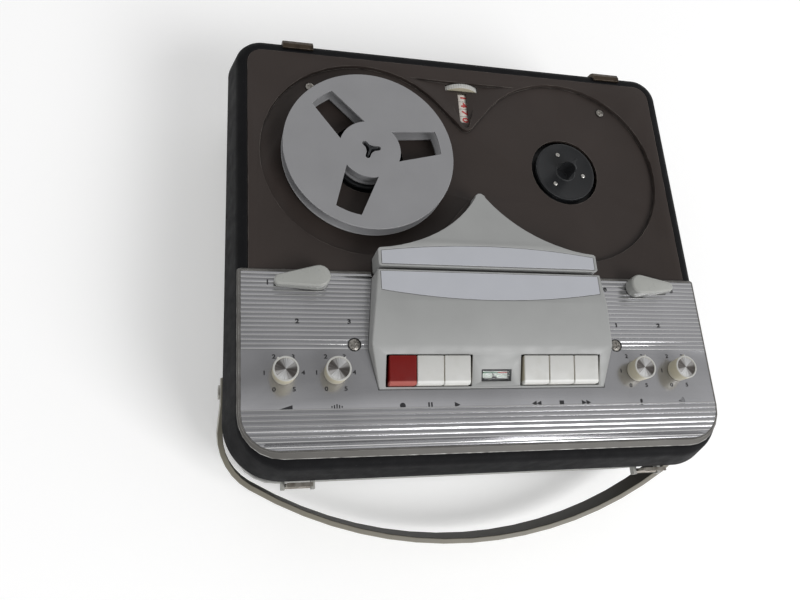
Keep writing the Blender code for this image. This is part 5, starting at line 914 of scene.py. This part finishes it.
def make_screw_ring(node):
    """A dark ring of painted shade at the edge of the hole that a panel screw sits in."""
    low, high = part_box(node)
    inner = (high.x - low.x) / 2 + SCREW_RING_GAP
    outer = inner + SCREW_RING_WIDTH
    top = RIB_HEIGHT + SCREW_RING_RAISE
    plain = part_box("panel_sheet")[1].z - RIB_HEIGHT
    profile = [
        (inner, 0),
        (outer, 0),
        (outer, top * 0.8),
        (outer - top * 0.2, top),
        (inner, top * 0.7),
        (inner, 0),
    ]
    shape = bmesh.new()
    turned(shape, profile, ROUND_STEPS // 2, middle_of(node, plain))
    bmesh.ops.remove_doubles(shape, verts=shape.verts, dist=WELD)
    place_piece(node + "_ring", shape, ["rubber"], "case")


# Knobs
def make_knob(kind):
    """The ivory body with its nib, and the spun disc in its top."""
    node = kind + "_knob"
    centre = pivot(kind + "_turn")
    shaft_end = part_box(node)[0].z - centre.z
    edge = KNOB_EDGE
    slope = (KNOB_TOP_RADIUS - KNOB_BASE_RADIUS) / KNOB_HEIGHT
    groove_radius = KNOB_BASE_RADIUS + slope * KNOB_SKIRT
    body = [
        (0, shaft_end),
        (KNOB_SHAFT_RADIUS, shaft_end),
        (KNOB_SHAFT_RADIUS, 0),
        (KNOB_BASE_RADIUS - edge / 2, 0),
        (KNOB_BASE_RADIUS, edge / 2),
        (groove_radius, KNOB_SKIRT - KNOB_GROOVE),
        (groove_radius - KNOB_GROOVE, KNOB_SKIRT),
        (groove_radius, KNOB_SKIRT + KNOB_GROOVE),
        (KNOB_TOP_RADIUS, KNOB_HEIGHT - edge),
        (KNOB_TOP_RADIUS - edge * 0.3, KNOB_HEIGHT - edge * 0.3),
        (KNOB_TOP_RADIUS - edge, KNOB_HEIGHT),
        (KNOB_CAP_RADIUS + edge * 0.3, KNOB_HEIGHT),
        (KNOB_CAP_RADIUS, KNOB_HEIGHT - edge * 0.3),
        (KNOB_CAP_RADIUS, KNOB_HEIGHT - 2 * CAP_SUNK),
        (0, KNOB_HEIGHT - 2 * CAP_SUNK - CAP_CONE),
    ]
    shape = bmesh.new()
    turned(shape, body, ROUND_STEPS, centre)
    half = NIB_WIDTH / 2
    nib = [(KNOB_CAP_RADIUS + edge, -half), (KNOB_TOP_RADIUS + NIB_REACH, 0), (KNOB_CAP_RADIUS + edge, half)]
    turn = Matrix.Translation(centre) @ Matrix.Rotation(radians(POINTERS[kind]), 4, "Z")
    prism(shape, nib, KNOB_HEIGHT - NIB_HEIGHT, KNOB_HEIGHT - edge * 0.2, turn)
    replace_node(node, shape, ending="_body")

    radius = KNOB_CAP_RADIUS - CAP_GAP
    rim = KNOB_HEIGHT - CAP_SUNK
    disc = [
        (0, rim - CAP_CONE),
        (radius * 0.5, rim - CAP_CONE * 0.5),
        (radius - edge * 0.6, rim - edge * 0.1),
        (radius - edge * 0.2, rim),
        (radius, rim - edge * 0.2),
        (radius, rim - CAP_SUNK + CAP_GAP),
        (0, rim - CAP_CONE - CAP_SUNK + CAP_GAP),
    ]
    shape = bmesh.new()
    turned(shape, disc, ROUND_STEPS, centre)
    place_piece(node + "_cap", shape, ["spun_cap"], BODY_OF[node])


# Reel and turntables
def trefoil(core, lobe, half_width, turn):
    """Three round-ended lobes round a core, the first at the given angle."""
    outline = []
    root = asin(half_width / core)
    for i in range(LOBE_COUNT):
        middle = radians(turn) + 2 * pi * i / LOBE_COUNT
        centre = ((lobe - half_width) * cos(middle), (lobe - half_width) * sin(middle))
        outline.append((core * cos(middle - root), core * sin(middle - root)))
        outline += arc(centre, half_width, degrees(middle) - 90, degrees(middle) + 90, LOBE_STEPS)
        outline.append((core * cos(middle + root), core * sin(middle + root)))
    return outline


def reel_windows():
    windows = []
    for i in range(LOBE_COUNT):
        middle = REEL_TURN + 360 * i / LOBE_COUNT
        near, far = WINDOW_INNER_HALF, WINDOW_OUTER_HALF
        inner = arc((0, 0), WINDOW_INNER, middle + near, middle - near, WINDOW_STEPS)
        windows.append(inner + arc((0, 0), WINDOW_OUTER, middle - far, middle + far, WINDOW_STEPS))
    return windows


def rounded_rim(shape, radius, thick, centre):
    """The outer wall of a flange with its chamfers; gives its lowest and highest ring."""
    steps = ((REEL_SOFT, 0), (0, REEL_SOFT), (0, thick - REEL_SOFT), (REEL_SOFT, thick))
    rings = [ring_at(shape, circle(radius - inset), height, centre) for inset, height in steps]
    wall(shape, *rings)
    return rings[0], rings[-1]


def make_reel():
    """The lower flange with its hub, and the upper flange."""
    low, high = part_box("reel_body")
    radius = (high.x - low.x) / 2
    centre = middle_of("reel_body", low.z)
    hole = trefoil(*REEL_HOLE, REEL_TURN)
    shape = bmesh.new()
    rim = rounded_rim(shape, radius, REEL_FLANGE, centre)
    bore = tube(shape, hole, 0, REEL_HUB_TOP, centre)
    hub = tube(shape, circle(REEL_HUB_RADIUS), REEL_FLANGE, REEL_HUB_TOP, centre)
    windows = [tube(shape, outline, 0, REEL_FLANGE, centre) for outline in reel_windows()]
    fill(shape, [rim[0], bore[0]] + [window[0] for window in windows])
    fill(shape, [rim[1], hub[0]] + [window[1] for window in windows])
    fill(shape, [hub[1], bore[1]])
    replace_node("reel_body", shape)

    shape = bmesh.new()
    low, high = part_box("reel_top_flange")
    centre.z = low.z
    rim = rounded_rim(shape, radius, high.z - low.z, centre)
    openings = [tube(shape, outline, 0, high.z - low.z, centre) for outline in [hole] + reel_windows()]
    for level in (0, 1):
        fill(shape, [rim[level]] + [opening[level] for opening in openings])
    replace_node("reel_top_flange", shape)


def make_turntable(node, spindle_turn):
    """The disc with its wheel and shaft, the spindle with its collar, and the studs."""
    low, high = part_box(node)
    centre = middle_of(node, high.z - SPINDLE_HEIGHT)
    edge = TURNTABLE_EDGE
    foot = low.z - centre.z
    profile = [
        (0, foot),
        (TURNTABLE_SHAFT_RADIUS, foot),
        (TURNTABLE_SHAFT_RADIUS, DRIVE_WHEEL_TOP - DRIVE_WHEEL_THICK),
        (DRIVE_WHEEL_RADIUS, DRIVE_WHEEL_TOP - DRIVE_WHEEL_THICK),
        (DRIVE_WHEEL_RADIUS, DRIVE_WHEEL_TOP),
        (TURNTABLE_HUB_RADIUS, DRIVE_WHEEL_TOP),
        (TURNTABLE_HUB_RADIUS, -TURNTABLE_THICK),
        (TURNTABLE_RADIUS - edge, -TURNTABLE_THICK),
        (TURNTABLE_RADIUS, edge - TURNTABLE_THICK),
        (TURNTABLE_RADIUS, -edge),
        (TURNTABLE_RADIUS - edge * 0.3, -edge * 0.3),
        (TURNTABLE_RADIUS - edge, 0),
        (TURNTABLE_RADIUS - 3 * edge, 0),
        (TURNTABLE_RADIUS - 4 * edge, -edge * 0.5),
        (COLLAR_RADIUS + COLLAR_HEIGHT, -edge * 0.5),
        (COLLAR_RADIUS, COLLAR_HEIGHT * 0.6),
        (COLLAR_RADIUS - COLLAR_HEIGHT, COLLAR_HEIGHT * 0.6),
        (COLLAR_RADIUS - 2 * COLLAR_HEIGHT, 0),
        (0, 0),
    ]
    shape = bmesh.new()
    turned(shape, profile, ROUND_STEPS, centre)
    rings = []
    for height, size in SPINDLE_TAPER:
        outline = trefoil(*(length * size for length in SPINDLE_FOOT), spindle_turn)
        rings.append(ring_at(shape, outline, height * SPINDLE_HEIGHT, centre))
    wall(shape, *rings)
    fill(shape, rings[:1])
    fill(shape, rings[-1:])
    replace_node(node, shape)

    shape = bmesh.new()
    dome = [
        (0, -edge),
        (STUD_RADIUS, -edge),
        (STUD_RADIUS, STUD_HEIGHT * 0.3),
        (STUD_RADIUS * 0.85, STUD_HEIGHT * 0.7),
        (STUD_RADIUS * 0.5, STUD_HEIGHT * 0.94),
        (0, STUD_HEIGHT),
    ]
    first = spindle_turn + STUD_SHIFT
    for x, y in arc((0, 0), STUD_CIRCLE, first, first + 360, LOBE_COUNT)[:-1]:
        turned(shape, dome, ROUND_STEPS // 3, centre + Vector((x, y, 0)))
    place_piece(node + "_studs", shape, ["steel"], BODY_OF[node])


# Counter
def turn_to_y(shape, place):
    """Turns an upright shape towards +Y and moves it to its place."""
    matrix = Matrix.Translation(place) @ Matrix.Rotation(-pi / 2, 4, "X")
    bmesh.ops.transform(shape, matrix=matrix, verts=shape.verts)


def make_number_wheels():
    """Four wheels with digits round them, which read from the right-hand side."""
    node = "number_wheels"
    place = pivot("counter_spin")
    near, far = [corner.y - place.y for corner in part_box(node)]
    groove = NUMBER_GROOVE
    profile = [(0, near), (COUNTER_SHAFT_RADIUS, near)]
    for i in range(WHEEL_COUNT):
        start, end = i * NUMBER_WIDTH + groove, (i + 1) * NUMBER_WIDTH - groove
        profile += [
            (COUNTER_SHAFT_RADIUS if i == 0 else NUMBER_RADIUS - 2 * groove, start),
            (NUMBER_RADIUS - groove, start),
            (NUMBER_RADIUS, start + groove),
            (NUMBER_RADIUS, end - groove),
            (NUMBER_RADIUS - groove, end),
            (COUNTER_SHAFT_RADIUS if i == WHEEL_COUNT - 1 else NUMBER_RADIUS - 2 * groove, end),
        ]
    profile += [(COUNTER_SHAFT_RADIUS, far), (0, far)]
    shape = bmesh.new()
    turned(shape, profile, ROUND_STEPS, Vector())
    turn_to_y(shape, place)
    lifted = Matrix.Translation((0, 0, NUMBER_RADIUS + DIGIT_RAISE)) @ Matrix.Rotation(-pi / 2, 4, "Z")
    for wheel in range(WHEEL_COUNT):
        middle = Matrix.Translation(place + Vector((0, (wheel + 0.5) * NUMBER_WIDTH, 0)))
        for digit in range(DIGIT_COUNT):
            turn = 360 / DIGIT_COUNT * (digit + DIGIT_SHIFT * wheel) + DIGIT_TURN
            spot = middle @ Matrix.Rotation(radians(turn), 4, "Y") @ lifted
            print_letters(shape, str(digit), DIGIT_SIZE, 2 * DIGIT_RAISE, spot, 1, NUMBER_RADIUS)
    replace_node(node, shape, ["number_white", "red_ink"])


def make_thumb_wheel():
    """The reset wheel with its knurled rim."""
    node = "counter_reset_wheel"
    low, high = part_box(node)
    width = high.y - low.y
    edge = THUMB_NOTCH
    shape = bmesh.new()
    rings = []
    for radius, height, notched in (
        (THUMB_BORE, 0.0, False),
        (THUMB_RADIUS - edge, 0.0, False),
        (THUMB_RADIUS, edge, True),
        (THUMB_RADIUS, width - edge, True),
        (THUMB_RADIUS - edge, width, False),
        (THUMB_BORE, width, False),
    ):
        outline = circle(radius, THUMB_TEETH * THUMB_STEPS)
        if notched:
            outline[::THUMB_STEPS] = circle(radius - THUMB_NOTCH, THUMB_TEETH)
        rings.append(ring_at(shape, outline, height))
    wall(shape, *rings, rings[0])
    turn_to_y(shape, pivot("counter_reset_spin"))
    replace_node(node, shape)


# Print on the panel
def triangle(x, size):
    """A triangle that points to +X, or to -X with a negative size."""
    return [(x - size / 2, -abs(size) / 2), (x + size / 2, 0), (x - size / 2, abs(size) / 2)]


def box_outline(x, y, width, depth):
    return [
        (x - width / 2, y - depth / 2),
        (x + width / 2, y - depth / 2),
        (x + width / 2, y + depth / 2),
        (x - width / 2, y + depth / 2),
    ]


# Outlines of the plain signs that stand for the keys and the knobs, in shares of a sign's size
SIGNS = {
    "record": [arc((0, 0), 0.5, 0, 345, 23)],
    "pause": [box_outline(-0.25, 0, 0.28, 1), box_outline(0.25, 0, 0.28, 1)],
    "play": [triangle(0, 1)],
    "rewind": [triangle(-0.45, -0.9), triangle(0.45, -0.9)],
    "forward": [triangle(-0.45, 0.9), triangle(0.45, 0.9)],
    "stop": [box_outline(0, 0, 0.85, 0.85)],
    "volume": [[(-1.3, -0.4), (1.3, -0.4), (1.3, 0.4)]],
    "tone": [box_outline(0.42 * i, 0, 0.2, 0.9 - 0.3 * abs(i)) for i in range(-2, 3)],
    "microphone": [
        arc((0, 0.25), 0.24, 0, 180, 10) + arc((0, 0), 0.24, 180, 360, 10),
        box_outline(0, -0.40, 0.10, 0.30),
        box_outline(0, -0.55, 0.5, 0.10),
    ],
    "radio": [arc((-0.5, 0), 0.16, 0, 345, 15)],
}
for reach in (0.3, 0.6, 0.9):
    SIGNS["radio"].append(arc((-0.5, 0), reach + 0.1, -45, 45, 8) + arc((-0.5, 0), reach, 45, -45, 8))


def print_sign(shape, kind, x, height):
    """Adds a sign to a shape, in the line of signs."""
    place = Matrix.Translation((x, pivot("volume_turn").y - SIGN_DROP, height))
    for outline in SIGNS[kind]:
        prism(shape, [(u * SIGN_SIZE, v * SIGN_SIZE) for u, v in outline], 0, PRINT_THICK, place)


def make_panel_print():
    """Numbers round the knobs and at the levers, and a sign for each key and knob."""
    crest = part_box("panel_sheet")[1].z
    plain = crest - RIB_HEIGHT
    shape = bmesh.new()
    for kind in POINTERS:
        centre = pivot(kind + "_turn")
        for number in range(NUMBER_LAST + 1):
            turn = radians(NUMBER_START + NUMBER_STEP * number)
            x, y = centre.x + NUMBER_RING * cos(turn), centre.y + NUMBER_RING * sin(turn)
            place = Matrix.Translation((x, y, plain + PRINT_THICK / 2))
            print_letters(shape, str(number), NUMBER_SIZE, PRINT_THICK, place)
        print_sign(shape, kind, centre.x, plain)
    for kind in KEYS:
        print_sign(shape, kind, pivot(f"key_{kind}_press").x, plain)
    thick = RIB_HEIGHT + PRINT_THICK
    for joint, numbers in SELECTOR_NUMBERS.items():
        centre = pivot(joint)
        for text, x, y in numbers:
            place = Matrix.Translation((centre.x + x, centre.y + y, crest + PRINT_THICK - thick / 2))
            print_letters(shape, text, SELECTOR_NUMBER_SIZE, thick, place)
    place_piece("panel_print", shape, ["ink"], "case")


# Level meter
def make_meter_scale():
    """The scale behind the window: a grey card with a green and a red band, ticks and a hub shield."""
    axis = Vector(JOINTS["needle_swing"]["axis"])
    tilt = atan2(-axis.y, axis.z)
    low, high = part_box("meter_window")
    centre = (low + high) / 2
    half_x = (high.x - low.x) / 2 - SCALE_MARGIN
    half_y = (high.y - low.y) / 2 / cos(tilt) - SCALE_MARGIN
    level = (pivot("needle_swing") - centre).dot(axis) - SCALE_THICK - SCALE_GAP
    place = Matrix.Translation(centre) @ Matrix.Rotation(tilt, 4, "X") @ Matrix.Translation((0, 0, level))
    shape = bmesh.new()
    prism(shape, box_outline(0, 0, 2 * half_x, 2 * half_y), 0, SCALE_THICK / 2, place, 0)
    low_y = half_y * BAND_SHARE
    high_y = low_y + BAND_WIDTH
    split = half_x * (2 * GREEN_SHARE - 1)
    marks = [
        (1, [(-half_x, low_y), (split, low_y), (split, high_y), (-half_x, high_y)]),
        (2, [(split, low_y), (half_x, low_y), (half_x, high_y), (split, high_y)]),
    ]
    for i in range(TICK_COUNT):
        x = half_x * (2 * (i + 0.5) / TICK_COUNT - 1)
        marks.append((3, box_outline(x, low_y - TICK_DROP, TICK_WIDTH, BAND_WIDTH)))
    shift, radius = SHIELD_SHARES
    marks.append((3, arc((-half_x * shift, -half_y), half_y * radius, 0, 180, SHIELD_STEPS)))
    for slot, outline in marks:
        prism(shape, outline, 0, MARK_THICK, place, slot)
    place_piece("meter_scale", shape, ["scale_grey", "green_ink", "red_ink", "ink"], "case")


# Surroundings
def make_floor():
    mesh = bpy.data.meshes.new("floor")
    corners = [(x * FLOOR_REACH, y * FLOOR_REACH, 0) for x, y in ((-1, -1), (1, -1), (1, 1), (-1, 1))]
    mesh.from_pydata(corners, [], [(0, 1, 2, 3)])
    floor = add_object("floor", mesh)
    finish = Finish("floor_white", FLOOR_COLOUR, FLOOR_ROUGHNESS, Emission_Color=WHITE)
    finish.set(Specular_IOR_Level=0.0)
    path = finish.add("LightPath")
    seen = path.outputs["Is Camera Ray"]
    for ray in ("Is Glossy Ray", "Is Transmission Ray"):
        seen = finish.math("MAXIMUM", seen, path.outputs[ray])
    finish.set(Emission_Strength=finish.math("MULTIPLY", seen, FLOOR_GLOW))
    mesh.materials.append(finish.material)


def make_world():
    """A pale room that is bright low down and greyer overhead, with soft patches."""
    world = bpy.data.worlds.new("room")
    bpy.context.scene.world = world
    world.use_nodes = True
    tree = world.node_tree
    place = add_node(tree, "TexCoord").outputs["Generated"]
    ramp = add_node(tree, "ValToRGB", Fac=add_node(tree, "SeparateXYZ", Vector=place).outputs["Z"])
    stops = ramp.color_ramp.elements
    stops[1].position = ROOM_LEVELS[-1][0]
    for height, _ in ROOM_LEVELS[1:-1]:
        stops.new(height)
    for stop, (_, level) in zip(stops, ROOM_LEVELS):
        stop.color = (level, level, level, 1.0)
    noise = add_node(tree, "TexNoise", Scale=ROOM_PATCH_SCALE, Detail=1.0, Vector=place)
    share = add_node(tree, "MapRange", Value=noise.outputs["Fac"], **ROOM_PATCHES).outputs["Result"]
    light = add_node(tree, "VectorMath", {"operation": "SCALE"}, Vector=ramp.outputs["Color"], Scale=share)
    inputs = {"Strength": ROOM_STRENGTH, "Color": light.outputs["Vector"]}
    set_inputs(tree, tree.nodes["Background"], inputs)


def make_lamp():
    """A soft square lamp that faces the middle of the object."""
    lamp = bpy.data.lights.new("key", "AREA")
    lamp.size = KEY_SIZE
    lamp.energy = KEY_POWER
    obj = add_object("key", lamp)
    obj.location = KEY_PLACE
    aim = Vector(KEY_AIM) - Vector(KEY_PLACE)
    obj.rotation_euler = aim.to_track_quat("-Z", "Y").to_euler()


def make_camera():
    camera = bpy.data.cameras.new("camera")
    camera.sensor_width = SENSOR_WIDTH
    camera.lens = FOCAL_PIXELS / IMAGE_WIDTH * SENSOR_WIDTH
    camera.clip_start = CAMERA_NEAR
    obj = add_object("camera", camera)
    obj.location = CAMERA_PLACE
    obj.rotation_euler = [radians(angle) for angle in CAMERA_TURN]
    bpy.context.scene.camera = obj


def main():
    make_camera()
    make_world()
    make_floor()
    make_lamp()
    bpy.context.scene.view_settings.view_transform = "Standard"
    dress_nodes()
    for width, nodes in FINE_NODES:
        for node in nodes:
            refine(node, width)
    make_panel_sheet()
    make_handle()
    for kind in POINTERS:
        make_knob(kind)
    # Rings of painted shade round the panel screws
    for side in ("left", "right"):
        make_screw_ring("panel_screw_" + side)
    make_rim()
    make_reel()
    for node, spindle_turn in SPINDLE_TURNS.items():
        make_turntable(node, spindle_turn)
    make_number_wheels()
    make_thumb_wheel()
    make_panel_print()
    make_meter_scale()


main()
